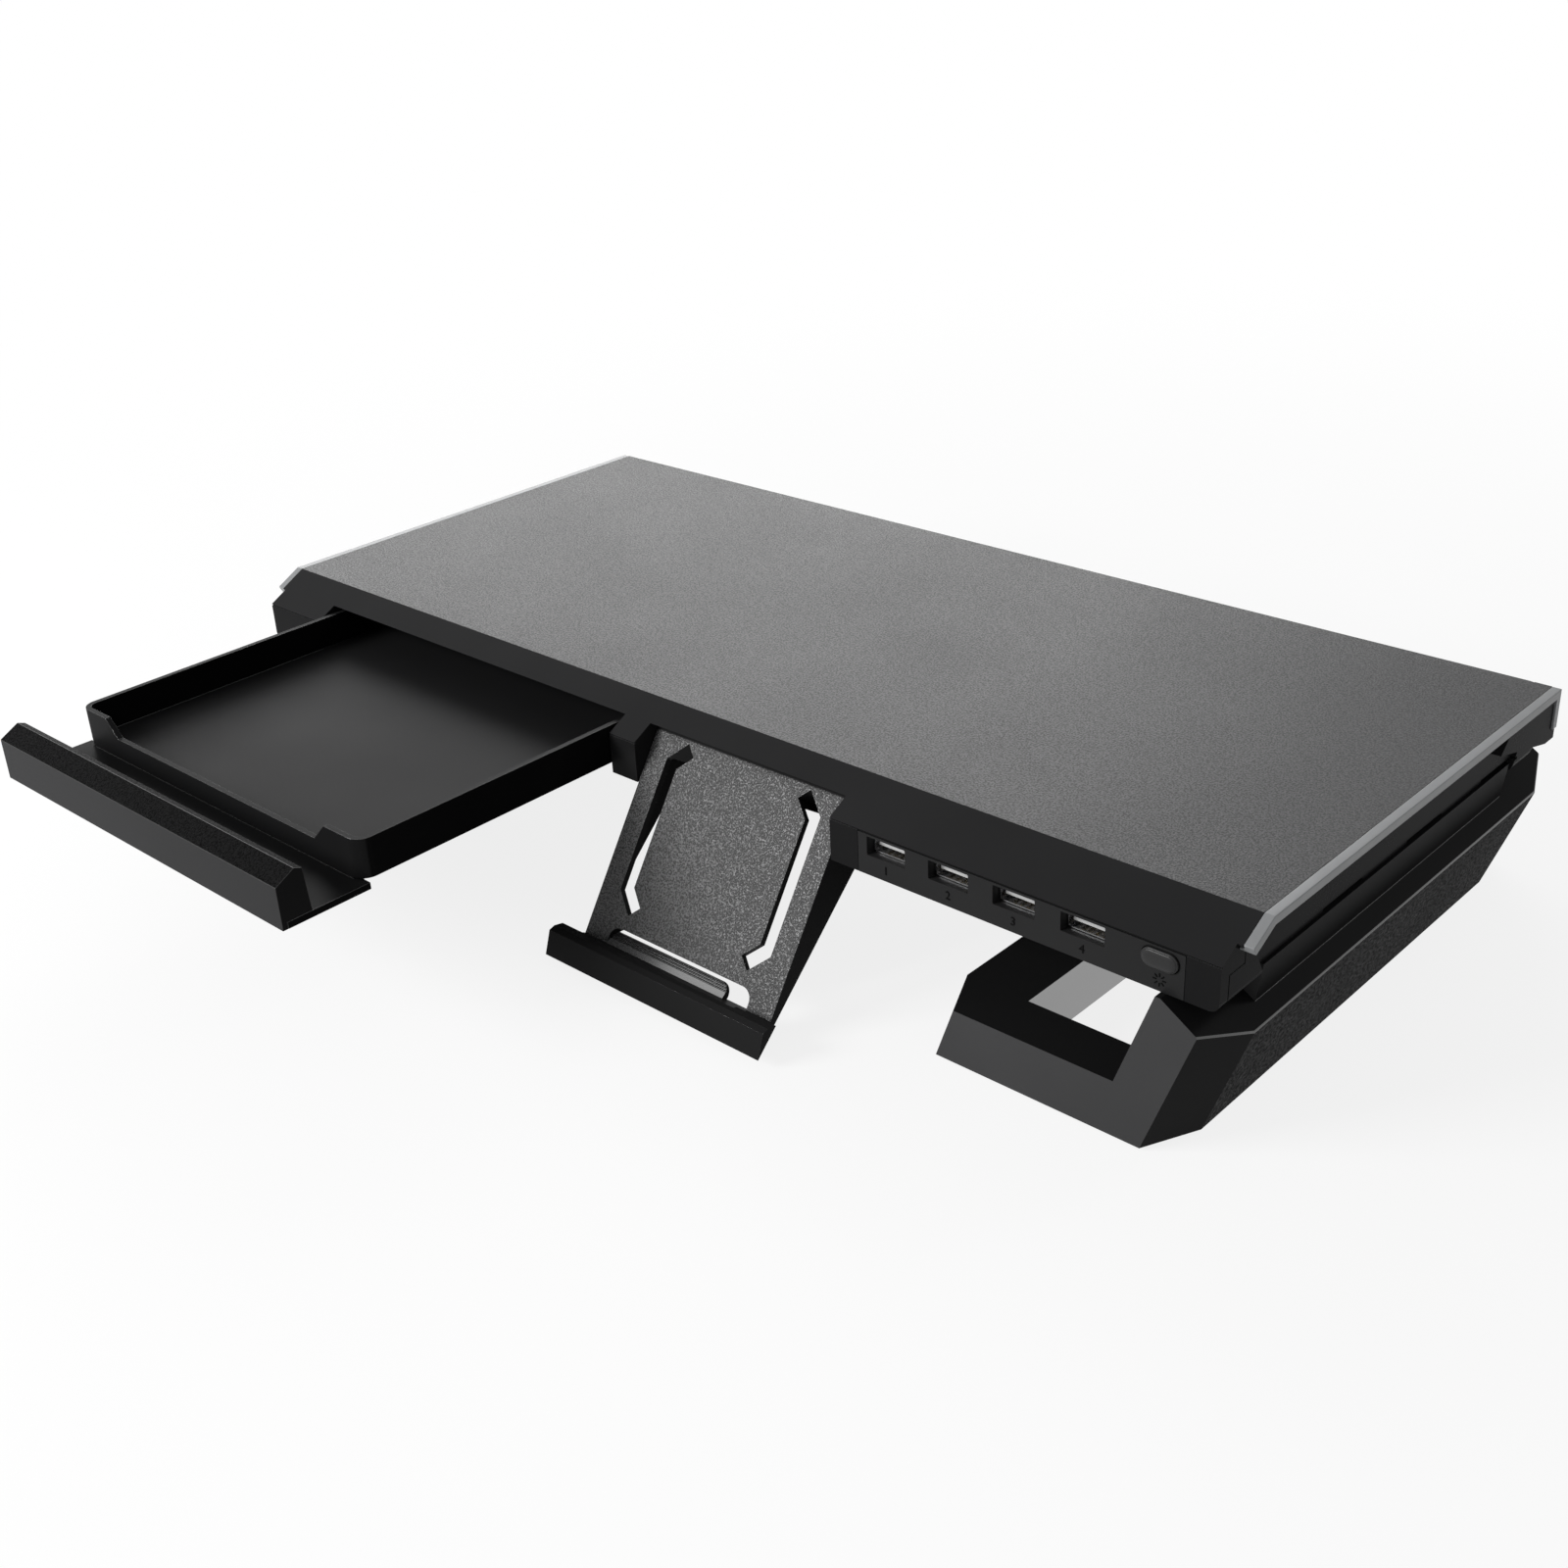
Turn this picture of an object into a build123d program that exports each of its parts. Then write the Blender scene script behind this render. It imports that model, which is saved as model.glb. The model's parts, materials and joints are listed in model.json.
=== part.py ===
"""Monitor stand with a pull-out drawer, a tilting phone holder and a four-port hub panel.

Millimetres, +Z up. The floor is z = 0, the middle of the length is x = 0, and the front
faces -Y. The drawer is drawn pulled out and the phone holder tilted down.
"""
import math
import os

from build123d import *

# Body: a bevelled top shell closed from below
body_depth = 189.9
body_height = 22.8
underside = 50.3
bevel_run = 16.6
bevel_drop = 8.8
groove = 0.6
groove_depth = 0.4
wall = 2.5
end_wall = 4.0
rib = 2.2
rear_round = 6.0
end_round = 3.0
cover_thickness = 2.5
cover_gap = 0.2
boss_diameter = 6.4

# Front openings, from the left end
left_block = 30.5
drawer_opening = 158.5
divider = 11.6
holder_opening = 82.2
right_block = 10.6
panel_length = 109.1
end_block = 10.1
opening_height = 18.0

# End walls, where the legs are held
lug_front = 22.5
lug_rear = 20.0
arch_height = 3.7
recess_depth = 1.5
recess_height = 17.0
recess_slant = 9.0
cheek_length = 34.6
cheek_slant = 5.2
cheek_band = 4.9
cheek_height = 13.7
slit_first = 66.2
slit_pitch = 48.2
slit_length = 22.0
slit_height = 1.0
slit_depth = 1.0

# Light strips along the short edges
strip_overhang = 1.6
strip_width = 3.1
strip_height = 2.8
strip_start = 7.0
strip_tail = 13.0
strip_roof = 1.0
strip_pocket = 0.9
tape_gap = 0.1

# Drawer
drawer_pull = 126.2
drawer_side_gap = 1.2
bar_depth = 10.4
bar_gap = 0.4
bar_step = 1.0
bar_wall = 1.8
bar_screw_pitch = 60.0
tray_setback = 28.7
tray_wall = 1.8
tray_height = 13.0
tray_rear_gap = 9.0
tray_dip = 6.0
tray_shoulder = 16.5
tray_round = 5.0
tongue_thickness = 2.2
ear_width = 12.0
ear_inset = 30.0
run_gap = 0.3

# Phone holder
holder_tilt = 56.5
wedge_angle = 13.0
holder_side_gap = 0.6
foot_setback = 0.4
foot_rise = 1.0
panel_reach = 52.0
panel_rise = 16.0
barrel_radius = 8.5
lip_thickness = 2.5
lip_reach = 62.5
lip_stand = 7.6
lip_bevel_run = 7.3
lip_bevel_rise = 3.9
lip_wing = 6.0
shelf_depth = 5.0
slot_width = 5.2
slot_centre = 29.9
slot_top = 8.3
slot_margin = 18.5
slot_jog = 6.0
cable_cut_length = 61.0
cable_cut_height = 6.0
cable_cut_round = 4.0
ledge_height = 4.4
ledge_set = 2.4
ledge_gap = 10.0
ledge_groove = 0.35
channel_start = -10.0
channel_margin = 8.0
pocket_half = 11.0
pocket_start = -4.0
pocket_end = 26.0
pocket_margin = 6.0
holder_skin = 2.2
back_plate = 1.8
holder_travel = 51.0
pin_diameter = 4.0
pin_length = 14.0
pin_play = 0.05
pin_fit = 0.02
lug_thickness = 5.0
lug_radius = 4.4
carriage_bar = 8.0
carriage_bar_height = 12.0
carriage_gap = 1.2
shoe_length = 14.0
shoe_height = 4.0

# Hub panel, ports and light button
port_count = 4
port_to_button = 23.9
port_first = 10.5
port_width = 14.0
port_height = 6.0
port_centre = 9.5
port_setback = 3.0
panel_flange = 1.5
shell_width = 13.2
shell_height = 5.6
shell_depth = 14.0
shell_wall = 0.35
port_tongue_width = 11.0
port_tongue_height = 1.9
port_tongue_depth = 12.6
port_tongue_rise = -0.9
contact_width = 1.0
contact_pitch = 2.2
contact_height = 0.25
button_width = 11.2
button_height = 5.7
button_margin = 7.5
button_proud = 0.8
button_travel = 0.6
button_gap = 0.25
button_flange = 1.2
board_thickness = 1.6
board_depth = 38.0
board_gap = 1.4
chip_size = 9.0
chip_height = 1.2
switch_size = 5.4
switch_stem = 1.6
socket_width = 12.0
socket_height = 10.8
socket_depth = 16.0
socket_wall = 1.2

# Legs: an arm that leans outward on a flat frame
leg_lean = 20.0
leg_inset = 11.3
leg_front_reach = 2.8
leg_tail = 13.3
foot_width = 86.3
foot_height = 18.6
arm_thickness = 24.0
leg_corner_x = 8.4
leg_corner_y = 17.5
shoulder_angle = 33.2
shoulder_flat = 1.6
foot_hole_end = 17.3
foot_hole_inner = 28.9
foot_hole_width = 36.4
leg_wall = 2.4
leg_cover_height = 6.5
seat_lean = 2.4
pad_length = 26.0
pad_width = 10.0
pad_thickness = 2.0
pad_proud = 0.8

# Screws
screw_diameter = 3.0
screw_head = 5.4
screw_head_height = 1.4
screw_length = 9.0
leg_screw_length = 12.0
small_screw_diameter = 2.0
small_screw_head = 3.6
small_screw_head_height = 1.0
small_screw_length = 4.2
screw_play = 0.05
recess_width = 0.6

# Places worked out from the sizes above
body_length = (
    left_block + drawer_opening + divider + holder_opening + right_block + panel_length + end_block
)
top = underside + body_height
bevel_foot = top - bevel_drop
opening_top = underside + opening_height
front = (drawer_pull - body_depth - leg_tail) / 2
back = front + body_depth
right_end = body_length / 2
left_end = -right_end
drawer_x0 = left_end + left_block
drawer_x1 = drawer_x0 + drawer_opening
holder_x0 = drawer_x1 + divider
holder_x1 = holder_x0 + holder_opening
panel_x0 = holder_x1 + right_block
panel_x1 = panel_x0 + panel_length
panel_top = bevel_foot - groove
cover_top = underside + cover_thickness
ceiling = top - wall
sill = wall + rear_round
slope = bevel_drop / bevel_run
slope_angle = math.atan(slope)
inner_end = right_end - end_wall

os.makedirs("parts", exist_ok=True)


def keep(builder, name):
    """Name a finished piece and write it out."""
    builder.part.label = name
    export_step(builder.part, f"parts/{name}.step")


def across(x):
    """Plane for a side profile of (y, z) points; extrusions run towards +X."""
    return Plane.YZ.offset(x)


def facing(y):
    """Plane for a front profile of (x, z) points; negative extrusions run towards +Y."""
    return Plane(origin=(0, y, 0), x_dir=(1, 0, 0), z_dir=(0, -1, 0))


def block(x0, x1, y0, y1, z0, z1, mode=Mode.ADD):
    """Box between two corners."""
    middle = ((x0 + x1) / 2, (y0 + y1) / 2, (z0 + z1) / 2)
    with Locations(middle):
        Box(abs(x1 - x0), abs(y1 - y0), abs(z1 - z0), mode=mode)


def post(x, y, z0, z1, radius):
    """Upright round post."""
    with Locations((x, y, (z0 + z1) / 2)):
        Cylinder(radius, z1 - z0)


def facing_up(x, y, z):
    """Place of a screw whose head shows upward."""
    return Plane(origin=(x, y, z), x_dir=(1, 0, 0), z_dir=(0, 0, 1))


def facing_down(x, y, z):
    """Place of a screw whose head shows downward."""
    return Plane(origin=(x, y, z), x_dir=(1, 0, 0), z_dir=(0, 0, -1))


main_screw = (screw_diameter, screw_head, screw_head_height)
small_screw = (small_screw_diameter, small_screw_head, small_screw_head_height)
inward = (Align.CENTER, Align.CENTER, Align.MAX)


def screw(place, size, length):
    """Pan-head screw with a cross recess, its head's outer face on the given place."""
    diameter, head, head_height = size
    with Locations(place.location):
        Cylinder(head / 2, head_height, align=inward)
        Cylinder(diameter / 2, head_height + length, align=inward)
        Box(head / 2, recess_width, head_height, mode=Mode.SUBTRACT)
        Box(recess_width, head / 2, head_height, mode=Mode.SUBTRACT)


def screw_hole(place, size, length):
    """Clear hole for a screw's head and shank."""
    diameter, head, head_height = size
    with Locations(place.location):
        Cylinder(head / 2 + screw_play, head_height, align=inward, mode=Mode.SUBTRACT)
        Cylinder(diameter / 2 + screw_play, head_height + length + screw_play, align=inward,
                 mode=Mode.SUBTRACT)


def body_section(inset, floor):
    """Side profile of the body, drawn in by a wall, down to a floor height."""
    drop = inset / math.cos(slope_angle)
    corner_z = bevel_foot + slope * inset - drop
    corner_y = front + (top - inset - bevel_foot + drop) / slope
    return [
        (front + inset, floor),
        (front + inset, corner_z),
        (corner_y, top - inset),
        (back - inset, top - inset),
        (back - inset, floor),
    ]


def bay_section():
    """Side profile of the hollow inside, with a thick sill along the back."""
    points = body_section(wall, underside)[:4]
    points.append((back - wall, underside + sill))
    points.append((back - sill, underside))
    return points


def strip_band(outer, inner):
    """Side profile of a band that follows the bevel, the top and the back edge."""
    def line(inset):
        foot_y = front + strip_start + inset * math.sin(slope_angle)
        foot_z = bevel_foot + slope * strip_start - inset * math.cos(slope_angle)
        points = [(foot_y, foot_z)]
        points += body_section(inset, top - strip_tail)[2:]
        return points
    return line(outer) + line(inner)[::-1]


# Screws of the bottom cover
left_post_x = drawer_x0 - rib - boss_diameter / 2 + groove
divider_x = (drawer_x1 + holder_x0) / 2
cover_screw_places = [
    facing_down(x, y, underside)
    for x, y in (
        (left_post_x, front + 2 * lug_front),
        (left_post_x, back - 2 * lug_rear),
        (divider_x, back - 4 * lug_rear),
        (divider_x, back - lug_rear),
        (panel_x0, back - 4 * lug_rear),
        (panel_x0, back - lug_rear),
        (panel_x1 - lug_rear, back - lug_rear),
    )
]

# Hub places
port_x0 = panel_x0 + port_first
button_x = panel_x1 - button_margin
port_pitch = (button_x - port_to_button - port_x0) / (port_count - 1)
port_xs = [port_x0 + i * port_pitch for i in range(port_count)]
port_z = underside + port_centre
board_top = port_z - shell_height / 2
board_foot = board_top - board_thickness
board_x0 = panel_x0 + wall
board_x1 = panel_x1 - wall
board_y0 = front + wall + panel_flange + board_gap
board_y1 = board_y0 + board_depth
board_screw_places = [
    facing_up(x, board_y1 - small_screw_head, board_top + small_screw_head_height)
    for x in (board_x0 + small_screw_head, board_x1 - small_screw_head)
]
socket_x = (panel_x0 + panel_x1) / 2
socket_z = underside + body_height / 2
socket_y = back - socket_depth

# Drawer places, pulled out
bar_y = front - drawer_pull
bar_x0 = drawer_x0 + bar_gap
bar_x1 = drawer_x1 - bar_gap
bar_top = opening_top - bar_gap
bar_bevel_end = bar_y + (bar_top - bevel_foot) / slope
bar_hollow_top = bevel_foot + slope * bar_wall - bar_wall / math.cos(slope_angle)
bar_hollow_y1 = bar_y + bar_depth - bar_step - bar_wall
bar_screw_y = (bar_y + bar_wall + bar_hollow_y1) / 2
tongue_top = underside + tongue_thickness
tray_x0 = drawer_x0 + drawer_side_gap
tray_x1 = drawer_x1 - drawer_side_gap
tray_y0 = bar_y + tray_setback
tray_y1 = back - wall - tray_rear_gap - drawer_pull
tray_floor = cover_top + run_gap
tray_top = tray_floor + tray_height
drawer_x = (drawer_x0 + drawer_x1) / 2
drawer_notch_y = front + tray_setback + 2 * tray_wall + run_gap
drawer_screw_places = [
    facing_down(drawer_x + i * bar_screw_pitch, bar_screw_y, underside) for i in (-1, 0, 1)
]
ear_xs = (tray_x0 + ear_inset, tray_x1 - ear_inset)

# Holder places, along the panel's face (down) and out of it
tilt = math.radians(holder_tilt)
wedge = math.radians(wedge_angle)
holder_x = (holder_x0 + holder_x1) / 2
panel_half = holder_opening / 2 - holder_side_gap
panel_left = holder_x - panel_half
panel_right = holder_x + panel_half
foot_y = front + foot_setback
foot_z = underside + foot_rise


def on_panel(down, out):
    """(y, z) of a point given along the holder's face and out of it."""
    y = foot_y - down * math.cos(tilt) - out * math.sin(tilt)
    z = foot_z - down * math.sin(tilt) + out * math.cos(tilt)
    return (y, z)


def wedge_back(down):
    """How far out of the holder's face the back of the wedge lies; it is behind it."""
    return -(lip_thickness + (panel_reach - down) * math.tan(wedge))


def lip_point(run, rise):
    """(y, z) of a point of the lip, given along and above its flat underside."""
    down = lip_reach - run * math.cos(wedge) - rise * math.sin(wedge)
    out = lip_stand - run * math.sin(wedge) + rise * math.cos(wedge)
    return on_panel(down, out)


def behind(start, end, depth):
    """(y, z) outline of a layer of the wedge's back, from start to end along the panel."""
    sink = depth / math.cos(wedge)
    return [
        on_panel(start, wedge_back(start)),
        on_panel(end, wedge_back(end)),
        on_panel(end, wedge_back(end) + sink),
        on_panel(start, wedge_back(start) + sink),
    ]


pivot_y, pivot_z = on_panel(-panel_rise, -barrel_radius)
wedge_end = -panel_rise - barrel_radius
slot_bottom = panel_reach - slot_margin
channel_end = panel_reach - channel_margin
corner_y, corner_z = on_panel(wedge_end, wedge_back(wedge_end))
corner_reach = math.hypot(corner_y - pivot_y, corner_z - pivot_z)
holder_plane = Plane(
    origin=(holder_x, foot_y, foot_z),
    x_dir=(1, 0, 0),
    z_dir=(0, -math.sin(tilt), math.cos(tilt)),
)
lip_front = lip_point(0, 0)
lip_crest = lip_point(lip_bevel_run, lip_bevel_rise)
lip_step = lip_point(lip_bevel_run + 2 * bar_step, lip_bevel_rise - bar_step)
lip_under = lip_point(lip_bevel_run + 4 * bar_step, 0)
holder_notch_y = pivot_y + holder_travel + corner_reach + carriage_gap
back_start = pocket_start - pocket_margin
back_end = pocket_end + pocket_margin


def back_screw_place(x, down):
    """Place of a screw in the holder's back plate."""
    y, z = on_panel(down, wedge_back(down))
    lean = tilt - wedge
    return Plane(origin=(x, y, z), x_dir=(1, 0, 0), z_dir=(0, math.sin(lean), -math.cos(lean)))


holder_screw_places = [
    back_screw_place(holder_x + side * (pocket_half - small_screw_head), down)
    for side in (-1, 1)
    for down in (pocket_start - pocket_margin / 2, pocket_end + pocket_margin / 2)
]

# Carriage places
lug_room = lug_thickness + holder_side_gap
bar_back_y0 = pivot_y + corner_reach + carriage_gap
bar_back_y1 = bar_back_y0 + carriage_bar
shoe_y1 = bar_back_y1 + shoe_length / 4
shoe_y0 = shoe_y1 - shoe_length

# Leg places, right-hand side
lean = math.radians(leg_lean)
leg_x1 = right_end - leg_inset
leg_x0 = leg_x1 - foot_width
leg_y0 = front - leg_front_reach
leg_y1 = back + leg_tail
hole_x0 = leg_x0 + foot_hole_inner
hole_x1 = hole_x0 + foot_hole_width
hole_y0 = leg_y0 + foot_hole_end
hole_y1 = leg_y1 - foot_hole_end
foot_roof = foot_height - leg_wall
seat_y0 = front + lug_front + cover_gap
seat_y1 = back - lug_rear - cover_gap
seat_top = underside + arch_height - cover_gap


def arm_x(height):
    """Inner face of the leaning arm at a height."""
    return leg_x1 - arm_thickness + height * math.tan(lean)


shoulder_x = arm_x(underside) + shoulder_flat


def shoulder_z(x):
    """Height of the sloping shoulder."""
    return underside - (x - shoulder_x) * math.tan(math.radians(shoulder_angle))


leg_seat_x = (shoulder_x + inner_end) / 2
leg_screw_places = [
    facing_up(side * leg_seat_x, y, cover_top + screw_head_height)
    for side in (-1, 1)
    for y in (seat_y0 + lug_rear, (seat_y0 + seat_y1) / 2, seat_y1 - lug_rear)
]
bar_x = (leg_x0 + hole_x0) / 2
hole_x = (hole_x0 + hole_x1) / 2
leg_mid_y = (leg_y0 + leg_y1) / 2
leg_post_places = [
    (hole_x, (leg_y0 + hole_y0) / 2),
    (hole_x, (leg_y1 + hole_y1) / 2),
    (bar_x, leg_mid_y - pad_length),
    (bar_x, leg_mid_y + pad_length),
]
pad_places = [
    (x, y)
    for x in (bar_x, (hole_x1 + leg_x1) / 2)
    for y in (leg_y0 + leg_corner_y + pad_length / 2, leg_y1 - leg_corner_y - pad_length / 2)
]

# End wall places
slit_ys = [front + slit_first + i * slit_pitch for i in range(3)]
cheek_top = top - strip_height - cover_gap
cheek_y0 = back - cheek_length
tail_y = back - strip_height - cover_gap
tail_z = top - strip_tail - cover_gap
cheek_outline = [
    (cheek_y0, cheek_top),
    (tail_y, cheek_top),
    (tail_y, tail_z),
    (back, tail_z),
    (back, cheek_top - cheek_height),
    (back - rear_round, cheek_top - cheek_height),
    (cheek_y0 - cheek_slant, cheek_top - cheek_band),
]

# Top shell: roof, bevel, front frame, ends, back and the ribs between the bays
bays = [
    (left_end + end_wall, drawer_x0 - rib),
    (drawer_x0, drawer_x1),
    (drawer_x1 + rib, holder_x0 - rib),
    (holder_x0, holder_x1),
    (holder_x1 + rib, inner_end),
]
with BuildPart() as top_shell:
    with BuildSketch(across(left_end)):
        Polygon(*body_section(0, underside))
    extrude(amount=body_length)
    low_edges = top_shell.edges().group_by(Axis.Z)[0]
    fillet(low_edges.filter_by(Axis.Y), end_round)
    low_edges = top_shell.edges().group_by(Axis.Z)[0].filter_by(Axis.X)
    fillet(low_edges.sort_by(Axis.Y)[-1], rear_round)
    for x0, x1 in bays:
        with BuildSketch(across(x0)):
            Polygon(*bay_section())
        extrude(amount=x1 - x0, mode=Mode.SUBTRACT)
    # Seat of the bottom cover
    block(-inner_end, inner_end, front + wall, back - sill, underside, cover_top, mode=Mode.SUBTRACT)
    # Drawer and phone holder openings, up into the bevel
    for x0, x1 in ((drawer_x0, drawer_x1), (holder_x0, holder_x1)):
        block(x0, x1, front, front + bevel_run, underside, opening_top, mode=Mode.SUBTRACT)
    # Groove under the bevel, and the hub panel's opening below it
    block(left_end, right_end, front, front + groove_depth, panel_top, bevel_foot, mode=Mode.SUBTRACT)
    block(panel_x0, panel_x1, front, front + wall, underside, panel_top, mode=Mode.SUBTRACT)
    for side in (-1, 1):
        end = side * right_end
        # Arch over the leg's seat, and the shallow recess above it
        block(side * inner_end, end, front + lug_front, back - lug_rear, underside,
              underside + arch_height, mode=Mode.SUBTRACT)
        with BuildSketch(across(end)):
            Polygon(
                (front + lug_front, underside),
                (front + lug_front - recess_slant, underside + recess_height),
                (back - lug_rear + recess_slant, underside + recess_height),
                (back - lug_rear, underside),
            )
        extrude(amount=-side * recess_depth, mode=Mode.SUBTRACT)
        # Slits over the leg's seat
        for y in slit_ys:
            block(end, end - side * (recess_depth + slit_depth), y - slit_length / 2,
                  y + slit_length / 2, underside + arch_height,
                  underside + arch_height + slit_height, mode=Mode.SUBTRACT)
        # Cheek at the rear, under the light strip and nearly flush with it
        with BuildSketch(across(side * inner_end)) as cheek:
            Polygon(*cheek_outline)
            fillet(cheek.vertices().group_by(Axis.Z)[0].sort_by(Axis.Y)[-1], end_round)
        extrude(amount=side * (end_wall + strip_overhang + strip_width - groove))
        # Thin roof over the light strip
        with BuildSketch(across(side * inner_end)):
            Polygon(*strip_band(0, strip_roof))
        extrude(amount=side * (end_wall + strip_overhang))
    # Posts for the cover screws
    for place in cover_screw_places:
        post(place.origin.X, place.origin.Y, cover_top, ceiling + wall / 2, boss_diameter / 2)
    for place in cover_screw_places:
        screw_hole(place, main_screw, screw_length)
    # Ribs that stop the drawer's ears
    for x in ear_xs:
        block(x - ear_width / 2, x + ear_width / 2, tray_y1 - tray_wall - run_gap - rib,
              tray_y1 - tray_wall - run_gap, tray_top + 2 * run_gap, ceiling + wall / 2)
    # Slots for the shoes of the holder's carriage
    for x0, x1 in ((holder_x0 - rib, holder_x0), (holder_x1, holder_x1 + rib)):
        block(x0, x1, shoe_y0 - run_gap, shoe_y1 + holder_travel + run_gap,
              pivot_z - shoe_height / 2 - run_gap, pivot_z + shoe_height / 2 + run_gap,
              mode=Mode.SUBTRACT)
    # Window of the upstream socket in the back wall
    block(socket_x - socket_width / 2 - cover_gap, socket_x + socket_width / 2 + cover_gap,
          back - sill, back, socket_z - socket_height / 2 - cover_gap,
          socket_z + socket_height / 2 + cover_gap, mode=Mode.SUBTRACT)
keep(top_shell, "top_shell")

# Bottom cover: a plate with notches for the drawer's tongue and the phone holder
with BuildPart() as bottom_cover:
    block(-inner_end + cover_gap, inner_end - cover_gap, front + wall + cover_gap,
          back - sill - cover_gap, underside, cover_top)
    block(drawer_x0, drawer_x1, front, drawer_notch_y, underside, cover_top, mode=Mode.SUBTRACT)
    block(holder_x0, holder_x1, front, holder_notch_y, underside, cover_top, mode=Mode.SUBTRACT)
    # Standoffs of the hub board, and the block under the upstream socket
    for place in board_screw_places:
        post(place.origin.X, place.origin.Y, underside + cover_thickness / 2, board_foot,
             small_screw_head)
        post(place.origin.X, board_y0 + small_screw_head, underside + cover_thickness / 2,
             board_foot, small_screw_head)
    block(socket_x - socket_width / 2, socket_x + socket_width / 2, socket_y, socket_y + 2 * rib,
          underside + cover_thickness / 2, socket_z - socket_height / 2)
    for place in board_screw_places:
        screw_hole(place, small_screw, small_screw_length)
    for place in cover_screw_places:
        screw_hole(place, main_screw, screw_length)
    for place in leg_screw_places:
        screw_hole(place, main_screw, leg_screw_length)
keep(bottom_cover, "bottom_cover")

with BuildPart() as cover_screws:
    for place in cover_screw_places:
        screw(place, main_screw, screw_length)
keep(cover_screws, "cover_screws")

# Light strips: a diffuser along each short edge, and the light tape in its pocket
with BuildPart() as light_strip_right:
    with BuildSketch(across(right_end + strip_overhang)):
        Polygon(*strip_band(0, strip_height))
    extrude(amount=strip_width)
    with BuildSketch(across(right_end)):
        Polygon(*strip_band(strip_roof + strip_pocket, strip_height))
    extrude(amount=strip_overhang)
keep(light_strip_right, "light_strip_right")

with BuildPart() as light_strip_left:
    mirror(light_strip_right.part, about=Plane.YZ)
keep(light_strip_left, "light_strip_left")

with BuildPart() as light_tape_right:
    block(right_end + tape_gap, right_end + strip_overhang - tape_gap, front + bevel_run + wall,
          back - strip_height, top - strip_roof - strip_pocket, top - strip_roof - tape_gap)
keep(light_tape_right, "light_tape_right")

with BuildPart() as light_tape_left:
    mirror(light_tape_right.part, about=Plane.YZ)
keep(light_tape_left, "light_tape_left")

# Hub panel: a front insert with port windows and a pill-shaped button hole
with BuildPart() as hub_panel:
    block(panel_x0 + cover_gap, panel_x1 - cover_gap, front, front + wall, underside,
          panel_top - cover_gap)
    block(panel_x0 - rib, panel_x1 + rib, front + wall, front + wall + panel_flange, cover_top,
          panel_top - wall)
    with BuildSketch(facing(front)):
        for x in port_xs:
            with Locations((x, port_z)):
                RectangleRounded(port_width, port_height, shell_wall)
        with Locations((button_x, port_z)):
            SlotOverall(button_width + 2 * button_gap, button_height + 2 * button_gap)
    extrude(amount=-wall - panel_flange, mode=Mode.SUBTRACT)
keep(hub_panel, "hub_panel")

# Port shells on the hub board, each with its tongue and contacts
shell_y0 = front + port_setback
shell_y1 = shell_y0 + shell_depth
shell_end = shell_y1 - shell_wall
with BuildPart() as port_shells:
    with BuildSketch(facing(shell_y0)):
        for x in port_xs:
            with Locations((x, port_z)):
                RectangleRounded(shell_width, shell_height, 2 * shell_wall)
    extrude(amount=-shell_depth)
    with BuildSketch(facing(shell_y0)):
        for x in port_xs:
            with Locations((x, port_z)):
                RectangleRounded(shell_width - 2 * shell_wall, shell_height - 2 * shell_wall, shell_wall)
    extrude(amount=-shell_depth + shell_wall, mode=Mode.SUBTRACT)
keep(port_shells, "port_shells")

port_tongue_z = port_z + port_tongue_rise
port_tongue_y = shell_end - port_tongue_depth
with BuildPart() as port_tongues:
    for x in port_xs:
        block(x - port_tongue_width / 2, x + port_tongue_width / 2, port_tongue_y, shell_end,
              port_tongue_z, port_tongue_z + port_tongue_height)
        block(x - port_tongue_width / 2, x + port_tongue_width / 2, shell_end - 2 * rib, shell_end,
              board_top + shell_wall, port_tongue_z)
keep(port_tongues, "port_tongues")

with BuildPart() as port_contacts:
    for x in port_xs:
        for i in (-1.5, -0.5, 0.5, 1.5):
            pin_x = x + i * contact_pitch
            block(pin_x - contact_width / 2, pin_x + contact_width / 2, port_tongue_y + contact_width,
                  shell_end - 2 * rib, port_tongue_z - contact_height, port_tongue_z)
keep(port_contacts, "port_contacts")

with BuildPart() as hub_board:
    block(board_x0, board_x1, board_y0, board_y1, board_foot, board_top)
    # Controller chip
    block(socket_x - chip_size / 2, socket_x + chip_size / 2, shell_y1 + rib,
          shell_y1 + rib + chip_size, board_foot, board_top + chip_height)
    for place in board_screw_places:
        screw_hole(place, small_screw, small_screw_length)
keep(hub_board, "hub_board")

with BuildPart() as board_screws:
    for place in board_screw_places:
        screw(place, small_screw, small_screw_length)
keep(board_screws, "board_screws")

# Light button with a flange behind the panel, and the push switch it presses
flange_y = front + wall + panel_flange + button_gap
with BuildPart() as light_button:
    with BuildSketch(facing(front - button_proud)):
        with Locations((button_x, port_z)):
            SlotOverall(button_width, button_height)
    extrude(amount=front - button_proud - flange_y)
    fillet(light_button.faces().sort_by(Axis.Y)[0].edges(), button_proud / 2)
    with BuildSketch(facing(flange_y)):
        with Locations((button_x, port_z)):
            Rectangle(button_width + 2 * button_flange, button_height - 2 * button_gap)
    extrude(amount=-button_flange)
keep(light_button, "light_button")

switch_y = flange_y + button_flange + button_travel + button_gap
with BuildPart() as button_switch:
    block(button_x - switch_size / 2, button_x + switch_size / 2, switch_y + switch_stem / 2,
          switch_y + switch_size, board_top, board_top + switch_size)
    with BuildSketch(facing(switch_y)):
        with Locations((button_x, port_z)):
            Circle(switch_stem)
    extrude(amount=-switch_stem)
keep(button_switch, "button_switch")

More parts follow.
